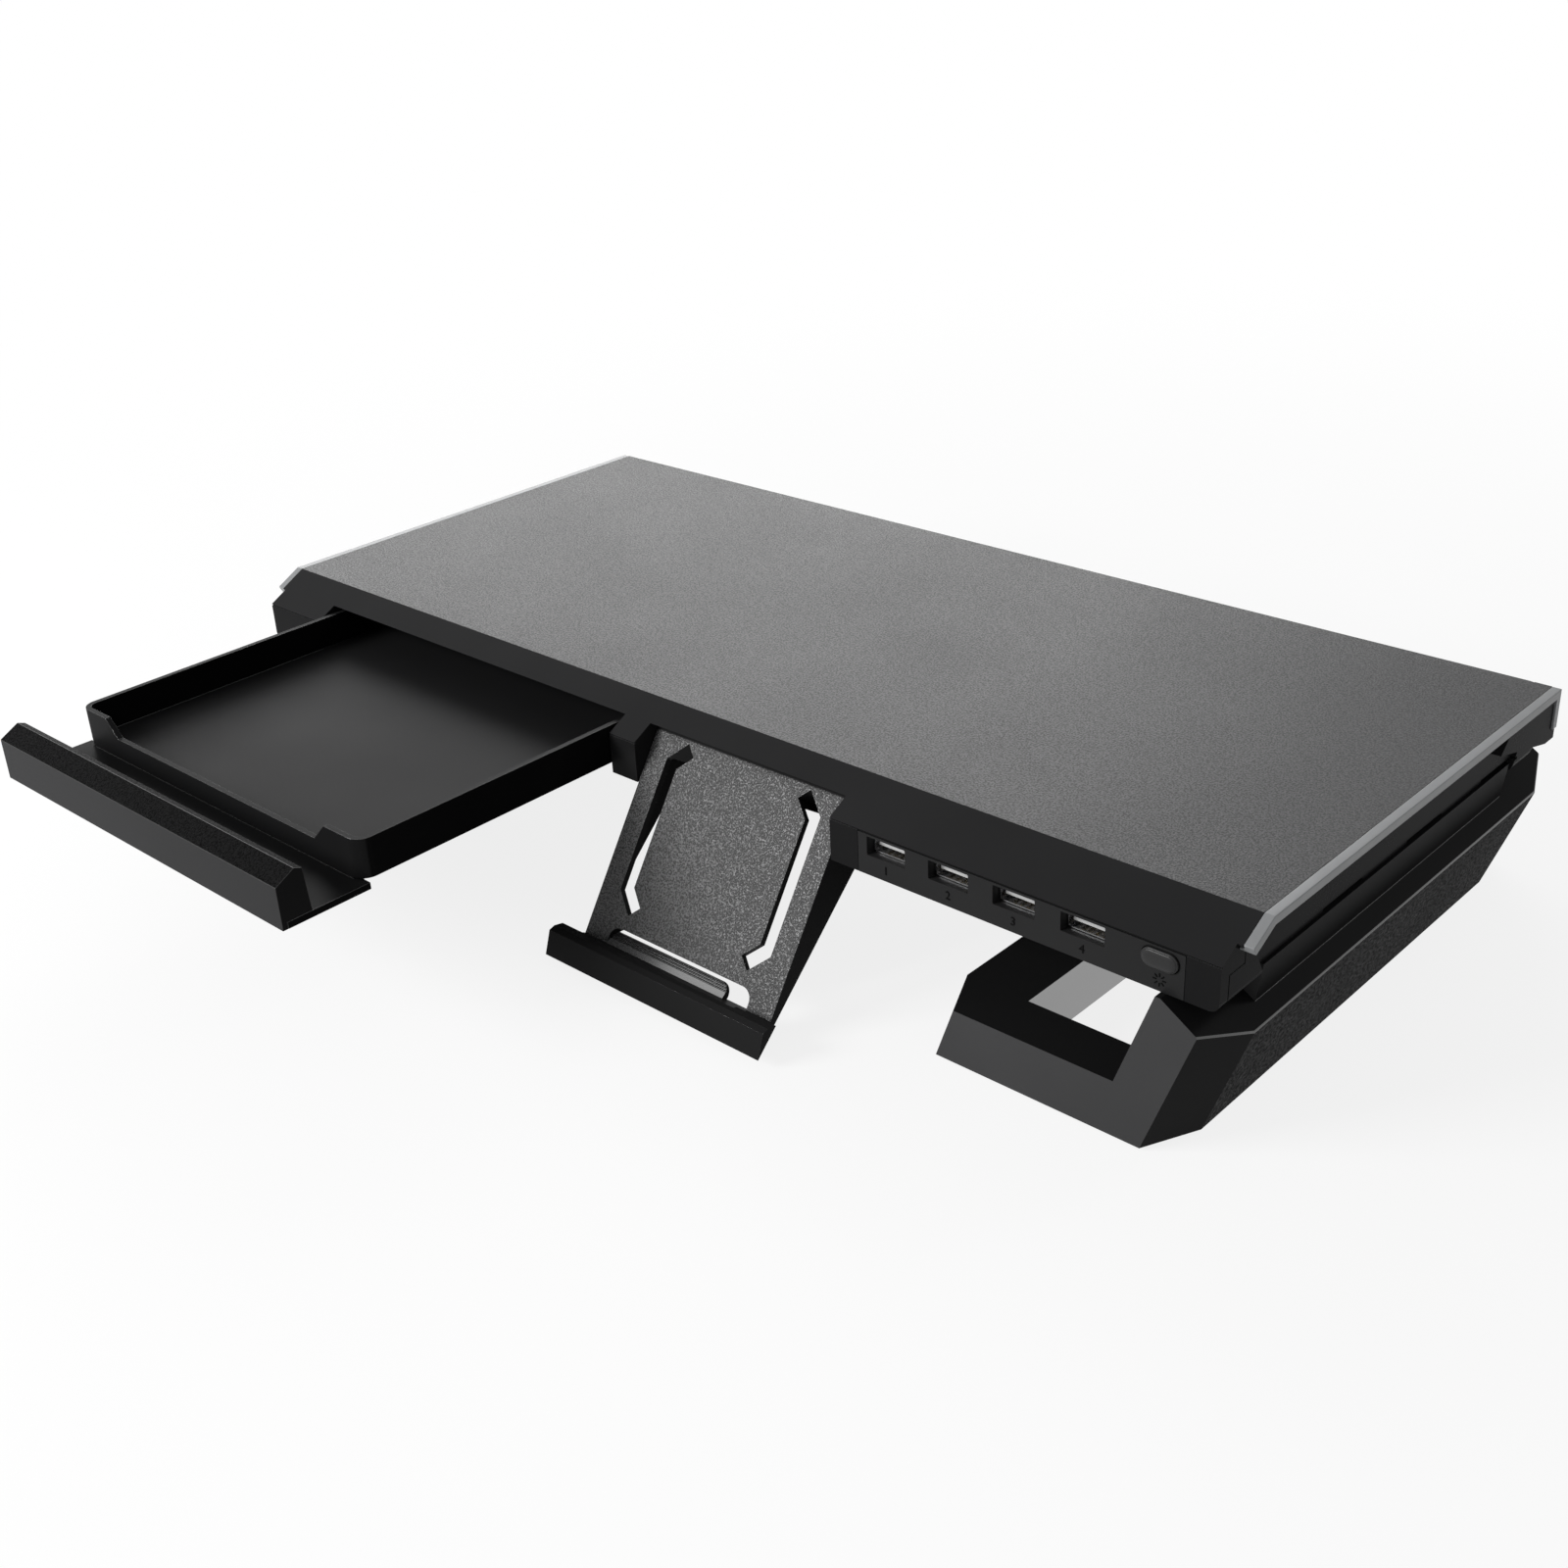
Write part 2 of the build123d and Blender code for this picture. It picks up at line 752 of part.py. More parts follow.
# Upstream socket at the back: a square shell with a block inside
with BuildPart() as rear_socket:
    block(socket_x - socket_width / 2, socket_x + socket_width / 2, socket_y, back - groove,
          socket_z - socket_height / 2, socket_z + socket_height / 2)
    block(socket_x - socket_width / 2 + socket_wall, socket_x + socket_width / 2 - socket_wall,
          socket_y + 2 * socket_wall, back, socket_z - socket_height / 2 + socket_wall,
          socket_z + socket_height / 2 - socket_wall, mode=Mode.SUBTRACT)
    block(socket_x - socket_width / 4, socket_x + socket_width / 4, socket_y + socket_wall,
          back - socket_depth / 2, socket_z - socket_height / 6, socket_z + socket_height / 6)
keep(rear_socket, "rear_socket")

# Drawer front: a bar with the body's own front profile, hollow from below
with BuildPart() as drawer_front:
    with BuildSketch(across(bar_x0)):
        Polygon(
            (bar_y, underside),
            (bar_y, bevel_foot),
            (bar_bevel_end, bar_top),
            (bar_y + bar_depth - bar_step, bar_top - bar_step),
            (bar_y + bar_depth, tongue_top),
            (bar_y + bar_wall, tongue_top),
            (bar_y + bar_wall, underside),
        )
    extrude(amount=bar_x1 - bar_x0)
    block(bar_x0 + bar_wall, bar_x1 - bar_wall, bar_y + bar_wall, bar_hollow_y1, tongue_top,
          bar_hollow_top, mode=Mode.SUBTRACT)
    for place in drawer_screw_places:
        x = place.origin.X
        block(x - boss_diameter / 2, x + boss_diameter / 2, bar_y + bar_wall, bar_hollow_y1,
              tongue_top, bar_hollow_top)
    for place in drawer_screw_places:
        screw_hole(place, main_screw, screw_length)
keep(drawer_front, "drawer_front")

# Drawer tray with the tongue that carries the front bar
with BuildPart() as drawer_tray:
    with BuildSketch(Plane.XY.offset(tray_floor)) as tray_plan:
        with Locations(((tray_x0 + tray_x1) / 2, (tray_y0 + tray_y1) / 2)):
            Rectangle(tray_x1 - tray_x0, tray_y1 - tray_y0)
        fillet(tray_plan.vertices(), tray_round)
    extrude(amount=tray_height)
    with BuildSketch(Plane.XY.offset(tray_floor + tray_wall)) as tray_inside:
        with Locations(((tray_x0 + tray_x1) / 2, (tray_y0 + tray_y1) / 2)):
            Rectangle(tray_x1 - tray_x0 - 2 * tray_wall, tray_y1 - tray_y0 - 2 * tray_wall)
        fillet(tray_inside.vertices(), tray_round - tray_wall)
    extrude(amount=tray_height, mode=Mode.SUBTRACT)
    # Low middle of the front wall, with slanted ends
    with BuildSketch(facing(tray_y0)):
        Polygon(
            (tray_x0 + tray_shoulder, tray_top),
            (tray_x0 + tray_shoulder + tray_dip, tray_top - tray_dip),
            (tray_x1 - tray_shoulder - tray_dip, tray_top - tray_dip),
            (tray_x1 - tray_shoulder, tray_top),
        )
    extrude(amount=-tray_wall, mode=Mode.SUBTRACT)
    # Tongue under the finger gap, and the step that joins it to the tray
    block(bar_x0, bar_x1, bar_y + bar_wall + tape_gap, tray_y0 + tray_wall, underside, tongue_top)
    block(tray_x0 + tray_round, tray_x1 - tray_round, tray_y0, tray_y0 + 2 * tray_wall, underside,
          tray_floor + tray_wall)
    for place in drawer_screw_places:
        screw_hole(place, main_screw, screw_length)
    # Ears that meet the stop ribs when the drawer is out
    for x in ear_xs:
        block(x - ear_width / 2, x + ear_width / 2, tray_y1 - tray_wall, tray_y1,
              tray_top - tray_wall, ceiling - 2 * run_gap)
keep(drawer_tray, "drawer_tray")

with BuildPart() as drawer_screws:
    for place in drawer_screw_places:
        screw(place, main_screw, screw_length)
keep(drawer_screws, "drawer_screws")

# Phone holder: a wedge with a rounded upper end, two bent slots and a lip
half_turn = math.tan(math.pi / 8) * slot_width / 2
slot_tip = slot_width / math.sqrt(8)


def bent_slot(side):
    """Slot on the holder's face: upright in the middle, both ends turned inward."""
    outer = slot_centre + slot_width / 2
    inner = slot_centre - slot_width / 2
    tip_x = slot_centre - slot_jog
    tip_high = slot_top + slot_jog
    tip_low = -slot_bottom - slot_jog
    points = [
        (outer, slot_top + half_turn),
        (tip_x + slot_tip, tip_high + slot_tip),
        (tip_x - slot_tip, tip_high - slot_tip),
        (inner, slot_top - half_turn),
        (inner, -slot_bottom + half_turn),
        (tip_x - slot_tip, tip_low + slot_tip),
        (tip_x + slot_tip, tip_low - slot_tip),
        (outer, -slot_bottom - half_turn),
    ]
    return [(side * x, y) for x, y in points]


def cable_ledge():
    """Grooved ledge in the lower part of the cable cut-out, short of its right end."""
    length = cable_cut_length - ledge_gap
    ledge_top = panel_reach - ledge_height
    with BuildPart() as ledge:
        with BuildSketch(across(holder_x - cable_cut_length / 2)):
            Polygon(
                on_panel(panel_reach, 0),
                on_panel(ledge_top, -ledge_set),
                on_panel(ledge_top, wedge_back(ledge_top)),
                on_panel(panel_reach, wedge_back(panel_reach)),
            )
            for share in (0.50, 0.68, 0.86):
                with Locations(on_panel(panel_reach - share * ledge_height, -share * ledge_set)):
                    Circle(ledge_groove, mode=Mode.SUBTRACT)
        extrude(amount=length)
        with BuildSketch(holder_plane) as plan:
            with Locations((-ledge_gap / 2, -panel_reach + ledge_height / 2)):
                Rectangle(length, ledge_height)
            fillet(plan.vertices().group_by(Axis.Y)[-1].sort_by(Axis.X)[-1], cable_cut_round)
        extrude(amount=barrel_radius, both=True, mode=Mode.INTERSECT)
    return ledge.part


with BuildPart() as holder_panel:
    with BuildSketch(across(panel_left)):
        Polygon(
            on_panel(-panel_rise, 0),
            on_panel(panel_reach, 0),
            on_panel(panel_reach, wedge_back(panel_reach)),
            on_panel(wedge_end, wedge_back(wedge_end)),
            on_panel(wedge_end, -barrel_radius),
        )
        with Locations((pivot_y, pivot_z)):
            Circle(barrel_radius)
    extrude(amount=2 * panel_half)
    # Hollow behind the face, with a ledge for the back plate
    with BuildSketch(across(holder_x - pocket_half)):
        Polygon(*behind(back_start, back_end, back_plate))
        Polygon(
            on_panel(pocket_start, -holder_skin),
            on_panel(pocket_end, -holder_skin),
            on_panel(pocket_end, wedge_back(pocket_end)),
            on_panel(pocket_start, wedge_back(pocket_start)),
        )
    extrude(amount=2 * pocket_half, mode=Mode.SUBTRACT)
    # Open channels behind the slots, between the hollow and the side walls
    channel = panel_half - pocket_half - 2 * holder_skin
    for x in (panel_left + holder_skin, panel_right - holder_skin - channel):
        with BuildSketch(across(x)):
            Polygon(
                on_panel(channel_start, -holder_skin),
                on_panel(channel_end, -holder_skin),
                on_panel(channel_end, 2 * wedge_back(channel_end)),
                on_panel(channel_start, 2 * wedge_back(channel_start)),
            )
        extrude(amount=channel, mode=Mode.SUBTRACT)
    # Shelf and lip, with wings past the panel's sides
    shelf_end = panel_reach + shelf_depth
    with BuildSketch(across(panel_left)):
        Polygon(
            on_panel(panel_reach, 0),
            lip_step,
            lip_crest,
            lip_front,
            on_panel(shelf_end, wedge_back(shelf_end)),
            on_panel(panel_reach, wedge_back(panel_reach)),
        )
    extrude(amount=2 * panel_half)
    with BuildSketch(across(panel_left - lip_wing)):
        Polygon(lip_front, lip_crest, lip_step, lip_under)
    extrude(amount=2 * (panel_half + lip_wing))
    # Slots, and the cable cut-out above the shelf
    with BuildSketch(holder_plane):
        Polygon(*bent_slot(-1))
        Polygon(*bent_slot(1))
    extrude(amount=4 * barrel_radius, both=True, mode=Mode.SUBTRACT)
    with BuildSketch(holder_plane) as cable_cut:
        with Locations((0, -panel_reach + cable_cut_height / 2)):
            Rectangle(cable_cut_length, cable_cut_height)
        fillet(cable_cut.vertices().group_by(Axis.Y)[-1], cable_cut_round)
    extrude(amount=barrel_radius, both=True, mode=Mode.SUBTRACT)
    add(cable_ledge())
    # Room for the carriage lugs at both ends of the rounded part, and the pin holes
    for x0, x1 in ((panel_left, panel_left + lug_room), (panel_right - lug_room, panel_right)):
        block(x0, x1, pivot_y - lug_radius - holder_side_gap, pivot_y + 2 * corner_reach,
              pivot_z - lug_radius - holder_side_gap, pivot_z + 2 * corner_reach, mode=Mode.SUBTRACT)
    for x in (panel_left, panel_right - pin_length):
        with BuildSketch(across(x)):
            with Locations((pivot_y, pivot_z)):
                Circle(pin_diameter / 2 + pin_fit)
        extrude(amount=pin_length, mode=Mode.SUBTRACT)
    for place in holder_screw_places:
        screw_hole(place, small_screw, small_screw_length)
keep(holder_panel, "holder_panel")

with BuildPart() as holder_back:
    with BuildSketch(across(holder_x - pocket_half + cover_gap)):
        Polygon(*behind(back_start + cover_gap, back_end - cover_gap, back_plate))
    extrude(amount=2 * (pocket_half - cover_gap))
    for place in holder_screw_places:
        screw_hole(place, small_screw, small_screw_length)
keep(holder_back, "holder_back")

with BuildPart() as holder_screws:
    for place in holder_screw_places:
        screw(place, small_screw, small_screw_length)
keep(holder_screws, "holder_screws")

with BuildPart() as hinge_pins:
    for x in (panel_left, panel_right - pin_length):
        with BuildSketch(across(x)):
            with Locations((pivot_y, pivot_z)):
                Circle(pin_diameter / 2)
        extrude(amount=pin_length)
keep(hinge_pins, "hinge_pins")

# Carriage: two lugs on a cross bar, with shoes that run in the ribs' slots
with BuildPart() as holder_carriage:
    block(panel_left, panel_right, bar_back_y0, bar_back_y1, pivot_z - carriage_bar_height / 2,
          pivot_z + carriage_bar_height / 2)
    for x in (panel_left, panel_right - lug_thickness):
        block(x, x + lug_thickness, pivot_y, bar_back_y1, pivot_z - shoe_height, pivot_z + shoe_height)
        with BuildSketch(across(x)):
            with Locations((pivot_y, pivot_z)):
                Circle(lug_radius)
        extrude(amount=lug_thickness)
    for x0, x1 in ((holder_x0 - rib, panel_left + rib), (panel_right - rib, holder_x1 + rib)):
        block(x0, x1, shoe_y0, shoe_y1, pivot_z - shoe_height / 2, pivot_z + shoe_height / 2)
    for x in (panel_left, panel_right - lug_thickness):
        with BuildSketch(across(x)):
            with Locations((pivot_y, pivot_z)):
                Circle(pin_diameter / 2 + pin_play)
        extrude(amount=lug_thickness, mode=Mode.SUBTRACT)
keep(holder_carriage, "holder_carriage")


# Legs
def leg_plan(inset, height):
    """Outline of the leg at a height, drawn in by a wall, with cut corners."""
    shift = height * math.tan(lean)
    x0 = leg_x0 + inset + shift
    x1 = leg_x1 - inset + shift
    y0 = leg_y0 + inset
    y1 = leg_y1 - inset
    return [
        (x0 + leg_corner_x, y0),
        (x1 - leg_corner_x, y0),
        (x1, y0 + leg_corner_y),
        (x1, y1 - leg_corner_y),
        (x1 - leg_corner_x, y1),
        (x0 + leg_corner_x, y1),
        (x0, y1 - leg_corner_y),
        (x0, y0 + leg_corner_y),
    ]


def leg_slice(inset, z0, z1):
    """Solid of the leaning outline between two heights."""
    with BuildPart() as piece:
        with BuildSketch(Plane.XY.offset(z0)):
            Polygon(*leg_plan(inset, z0))
        extrude(amount=(z1 - z0) / math.cos(lean), dir=(math.sin(lean), 0, math.cos(lean)))
    return piece.part


def leg_form(inset):
    """Solid of the foot and the arm above the split, drawn in by a wall."""
    roof = foot_height - inset
    drop = inset / math.cos(math.radians(shoulder_angle))
    far_x = leg_x1 + foot_width
    with BuildPart() as form:
        add(leg_slice(inset, leg_cover_height, underside))
        with BuildSketch(facing(leg_y0)):
            Polygon(
                (leg_x0, roof),
                (arm_x(roof) + inset, roof),
                (arm_x(underside) + inset, underside),
                (leg_x0, underside),
            )
            Polygon(
                (leg_x0, underside),
                (leg_x0, underside - drop),
                (shoulder_x, underside - drop),
                (far_x, shoulder_z(far_x) - drop),
                (far_x, underside),
            )
        extrude(amount=leg_y0 - leg_y1, mode=Mode.SUBTRACT)
    return form.part


with BuildPart() as leg_right_shell:
    add(leg_form(0))
    # Seat that rises between the body's lugs into the end wall's arch
    seat_foot_x = right_end - seat_lean
    with BuildSketch(facing(seat_y0)):
        Polygon(
            (shoulder_x, underside),
            (inner_end, underside),
            (inner_end, seat_top),
            (right_end - groove, seat_top),
            (seat_foot_x, shoulder_z(seat_foot_x) - leg_wall / 2),
            (shoulder_x, underside - leg_wall / 2),
        )
    extrude(amount=seat_y0 - seat_y1)
    add(leg_form(leg_wall), mode=Mode.SUBTRACT)
    # Walls of the opening in the foot
    block(hole_x0 - leg_wall, hole_x1 + leg_wall, hole_y0 - leg_wall, hole_y1 + leg_wall,
          leg_cover_height, foot_roof + leg_wall / 2)
    block(hole_x0, hole_x1, hole_y0, hole_y1, leg_cover_height, foot_height, mode=Mode.SUBTRACT)
    # Posts for the cover's screws and for the screws that come down from the body
    for x, y in leg_post_places:
        post(x, y, pad_proud + leg_wall, foot_roof + leg_wall / 2, boss_diameter / 2)
    for place in leg_screw_places[3:]:
        post(place.origin.X, place.origin.Y, cover_top - leg_screw_length - leg_wall,
             underside - leg_wall / 2, boss_diameter / 2)
    for place in leg_screw_places[3:]:
        screw_hole(place, main_screw, leg_screw_length)
    for x, y in leg_post_places:
        screw_hole(facing_down(x, y, pad_proud), main_screw, screw_length)
keep(leg_right_shell, "leg_right_shell")

with BuildPart() as leg_right_cover:
    add(leg_slice(0, pad_proud, leg_cover_height))
    add(leg_slice(leg_wall, pad_proud + leg_wall, leg_cover_height), mode=Mode.SUBTRACT)
    block(hole_x0 - leg_wall, hole_x1 + leg_wall, hole_y0 - leg_wall, hole_y1 + leg_wall,
          pad_proud, leg_cover_height)
    block(hole_x0, hole_x1, hole_y0, hole_y1, pad_proud, leg_cover_height, mode=Mode.SUBTRACT)
    for x, y in pad_places:
        block(x - pad_width / 2, x + pad_width / 2, y - pad_length / 2, y + pad_length / 2, pad_proud,
              pad_thickness, mode=Mode.SUBTRACT)
    for x, y in leg_post_places:
        screw_hole(facing_down(x, y, pad_proud), main_screw, screw_length)
keep(leg_right_cover, "leg_right_cover")

with BuildPart() as leg_left_shell:
    mirror(leg_right_shell.part, about=Plane.YZ)
keep(leg_left_shell, "leg_left_shell")

with BuildPart() as leg_left_cover:
    mirror(leg_right_cover.part, about=Plane.YZ)
keep(leg_left_cover, "leg_left_cover")

with BuildPart() as foot_pads:
    for side in (-1, 1):
        for x, y in pad_places:
            with Locations((side * x, y, pad_thickness / 2)):
                Box(pad_width - cover_gap, pad_length - cover_gap, pad_thickness)
keep(foot_pads, "foot_pads")

with BuildPart() as leg_screws:
    for place in leg_screw_places:
        screw(place, main_screw, leg_screw_length)
keep(leg_screws, "leg_screws")

with BuildPart() as leg_cover_screws:
    for side in (-1, 1):
        for x, y in leg_post_places:
            screw(facing_down(side * x, y, pad_proud), main_screw, screw_length)
keep(leg_cover_screws, "leg_cover_screws")
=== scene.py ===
"""Looks of a monitor stand with a pull-out drawer, a tilting phone holder and a hub panel.

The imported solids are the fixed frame. Visible mouldings get rounded edges, the end faces
a fine seam, the hub panel raised numerals and a light sign, and the button a low crown.
Every piece gets a procedural finish.
"""
import json
import math

import bpy
from mathutils import Matrix, Vector

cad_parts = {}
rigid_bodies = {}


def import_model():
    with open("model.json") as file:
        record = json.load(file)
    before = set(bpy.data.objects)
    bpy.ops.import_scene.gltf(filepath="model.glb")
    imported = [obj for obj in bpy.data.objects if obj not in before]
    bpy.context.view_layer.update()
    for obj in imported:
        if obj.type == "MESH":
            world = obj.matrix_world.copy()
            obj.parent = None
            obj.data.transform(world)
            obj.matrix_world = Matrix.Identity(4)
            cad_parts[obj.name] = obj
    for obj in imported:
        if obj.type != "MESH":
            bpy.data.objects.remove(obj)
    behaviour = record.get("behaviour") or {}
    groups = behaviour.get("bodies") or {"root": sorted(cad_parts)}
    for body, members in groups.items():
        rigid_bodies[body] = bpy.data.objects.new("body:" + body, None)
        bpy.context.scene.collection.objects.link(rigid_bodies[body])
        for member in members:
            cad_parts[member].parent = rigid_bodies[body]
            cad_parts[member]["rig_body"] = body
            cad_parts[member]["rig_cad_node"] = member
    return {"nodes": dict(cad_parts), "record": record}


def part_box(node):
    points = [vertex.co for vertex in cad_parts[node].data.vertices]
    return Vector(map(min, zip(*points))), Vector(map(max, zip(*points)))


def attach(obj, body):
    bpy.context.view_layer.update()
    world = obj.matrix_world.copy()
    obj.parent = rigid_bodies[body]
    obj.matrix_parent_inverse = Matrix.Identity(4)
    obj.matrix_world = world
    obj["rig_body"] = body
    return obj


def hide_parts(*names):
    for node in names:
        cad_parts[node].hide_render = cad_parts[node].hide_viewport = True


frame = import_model()

bl_info = {
    "name": "Monitor stand",
    "version": (1, 0, 0),
    "blender": (4, 5, 0),
    "location": "3D View > Sidebar > Stand",
    "description": "Finishes a monitor stand with drawer, phone holder and hub panel",
    "category": "Object",
}

MM = 0.001

# Ways that faces look
UP = (0, 0, 1)
FRONT = (0, -1, 0)
ENDS = ((1, 0, 0), (-1, 0, 0))
HOLDER_FACE = (0, -0.834, 0.552)
LEDGE_FACE = (0, -0.468, 0.884)
LEG_WALLS = ((0.940, 0, -0.342), (-0.940, 0, -0.342))

# Upward part of the leg shoulder's normal, and how much a face's may differ from it
SHOULDER_RISE = 0.837
SLOPE_SPREAD = 0.02

# Edges of the mouldings: turns that count as sharp and as flat, and lengths
SHARP = math.radians(25)
FLAT = math.radians(0.4)
WELD = 0.001 * MM
EDGE_STEPS = 2
LONG_EDGE = 6 * MM

# Seam in the end faces, as points of y and z, and how far the strips stand out from these faces
SEAM = ((-0.0270, 0.0668), (-0.0270, 0.0600), (-0.0344, 0.0600), (-0.0344, 0.0495))
STRIP_REACH = 4.7 * MM

# Button, numerals and light sign, with shares of the button's height, the type size and the sign's radius
CROWN_SHARE = 0.86
CROWN_SEGMENTS = 64
CROWN_RINGS = 31
PORTS = 4
PORT_PITCH = 22.4 * MM
DIGIT_SHARE = 0.70
DIGIT_STEPS = 6
SIGN_RAYS = 8
RAY_LENGTH = 0.56
RAY_WIDTH = 0.20
RAY_ROUND = 0.22

# Unevenness of the finishes, and how far from the middle the polish in the feet reaches
CLOUD = 50 * MM
FINE = 0.6 * MM
FOOT_RIM = 185 * MM

# Floor, with the share of glow near the stand and the distances over which it grows to all
FLOOR_GAP = 0.1 * MM
FLOOR_GREY = (0.86, 0.86, 0.86)
WHITE = (1, 1, 1, 1)
GLOW_NEAR = 0.84
GLOW_REACH = (0.30, 1.00)

# Lamps: name, place, aim, width and height
LAMPS = (
    ("key", (-1.25, 1.15, 0.85), (0, 0.05, 0.06), (1.6, 1.0)),
    ("fill", (-0.60, -1.10, 0.70), (0.03, -0.08, 0.03), (0.6, 0.45)),
    ("rim", (0.75, 1.10, 0.95), (0.15, 0.03, 0.05), (0.30, 0.22)),
)

# Camera, with its sensor's width in millimetres
SENSOR = 36.0
CAMERA_PLACE = (0.4074, -0.4018, 0.3251)
CAMERA_RIGHT = (0.7364, 0.6752, -0.0442)
CAMERA_UP = (-0.2769, 0.3604, 0.8906)
CAMERA_BACK = (0.6172, -0.6436, 0.4524)

NODES = frame["nodes"]
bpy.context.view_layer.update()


def length_prop(name, description, default):
    """A size in metres that the sidebar shows as a length."""
    return bpy.props.FloatProperty(
        name=name, description=description, default=default, unit="LENGTH", precision=5
    )


def colour_prop(name, description, default):
    """A colour that the sidebar shows as a swatch."""
    return bpy.props.FloatVectorProperty(
        name=name, description=description, default=default, subtype="COLOR", min=0.0, max=1.0
    )


def share_prop(name, description, default):
    """A number between nothing and all."""
    return bpy.props.FloatProperty(
        name=name, description=description, default=default, min=0.0, max=1.0, subtype="FACTOR"
    )


class StandSizes(bpy.types.PropertyGroup):
    """Small sizes that the solids don't carry."""

    shell_edge: length_prop("Shell edge", "Radius on the edges of the large mouldings", 0.45 * MM)
    leg_edge: length_prop("Leg edge", "Radius on the shoulders of the legs", 0.45 * MM)
    fine_edge: length_prop("Fine edge", "Radius on the edges of the small mouldings", 0.25 * MM)
    numeral_height: length_prop("Numeral height", "Height of the numerals under the ports", 2.6 * MM)
    numeral_relief: length_prop("Numeral relief", "How far the numerals stand proud", 0.18 * MM)
    numeral_drop: length_prop("Numeral drop", "Distance from port middle to numeral middle", 6.1 * MM)
    sign_radius: length_prop("Light sign", "Outer radius of the light sign", 2.0 * MM)
    grain_size: length_prop("Fine grain", "Size of the fine grain on the top", 0.60 * MM)
    pebble_size: length_prop("Pebble", "Size of the pebble grain on the holder", 0.55 * MM)
    button_crown: length_prop("Button crown", "How far the button's middle bulges", 0.55 * MM)
    button_straight: length_prop("Button straight", "Length of the button's straight part", 5.5 * MM)
    seam_width: length_prop("Seam", "Width and depth of the seams in the end faces", 0.45 * MM)


class StandColours(bpy.types.PropertyGroup):
    """Colours of the mouldings and fittings."""

    shell: colour_prop("Shell", "Textured charcoal top", (0.036, 0.036, 0.037))
    frame: colour_prop("Frame", "Satin black mouldings", (0.010, 0.010, 0.0103))
    hub: colour_prop("Hub face", "Black of the hub panel and its button", (0.016, 0.016, 0.0163))
    bar: colour_prop("Drawer bar", "Black of the drawer's bar", (0.006, 0.006, 0.0062))
    legs: colour_prop("Legs", "Black of the legs", (0.015, 0.015, 0.0153))
    holder: colour_prop("Holder", "Grained black of the phone holder", (0.040, 0.040, 0.0405))
    diffuser: colour_prop("Diffuser", "Frosted light strip", (0.235, 0.24, 0.245))
    board: colour_prop("Board", "Solder mask of the circuit board", (0.012, 0.075, 0.035))
    steel: colour_prop("Steel", "Plated steel", (0.60, 0.60, 0.61))
    contact: colour_prop("Contact", "Plated contacts", (0.72, 0.56, 0.28))
    insert: colour_prop("Insert", "Tongues inside the ports", (0.72, 0.72, 0.71))
    rubber: colour_prop("Rubber", "Pads under the feet", (0.022, 0.022, 0.022))
    edge: colour_prop("Edge", "Rounded edges that catch the light", (0.012, 0.012, 0.012))
    soft_edge: colour_prop("Soft edge", "Rounded edges that catch less", (0.016, 0.016, 0.016))
    legend: colour_prop("Legend", "Numerals and light sign", (0.003, 0.003, 0.003))
    tape: colour_prop("Tape", "Light tape beside the strips", (0.75, 0.74, 0.66))


class StageSettings(bpy.types.PropertyGroup):
    """Floor, lamps and camera."""

    floor_size: length_prop("Floor", "Side of the square floor", 12.0)
    lens: bpy.props.FloatProperty(
        name="Lens", description="Focal length in mm on a 36 mm sensor", default=44.03
    )
    key_power: bpy.props.FloatProperty(
        name="Key", description="Soft lamp behind and above", default=19.2, unit="POWER"
    )
    fill_power: bpy.props.FloatProperty(
        name="Fill", description="Soft lamp in front on the left", default=19.8, unit="POWER"
    )
    rim_power: bpy.props.FloatProperty(
        name="Rim", description="Small lamp behind on the right", default=1.6, unit="POWER"
    )
    ambient: share_prop("Ambient", "Even light from all round", 0.30)


class Value:
    """A socket that Python expressions add Math nodes to."""

    def __init__(self, finish, socket):
        self.finish = finish
        self.socket = socket

    def math(self, operation, first, second=0.0):
        return self.finish.node(
            "ShaderNodeMath", {"operation": operation}, {0: first, 1: second}
        )

    def __add__(self, other):
        return self.math("ADD", self, other)

    def __sub__(self, other):
        return self.math("SUBTRACT", self, other)

    def __rsub__(self, other):
        return self.math("SUBTRACT", other, self)

    def __mul__(self, other):
        return self.math("MULTIPLY", self, other)

    def most(self, other):
        return self.math("MAXIMUM", self, other)

    def between(self, low, high):
        """0 below low, 1 above high, smooth in between."""
        return self.finish.node(
            "ShaderNodeMapRange",
            {"interpolation_type": "SMOOTHSTEP"},
            {"Value": self, "From Min": low, "From Max": high},
        )

    __radd__ = __add__


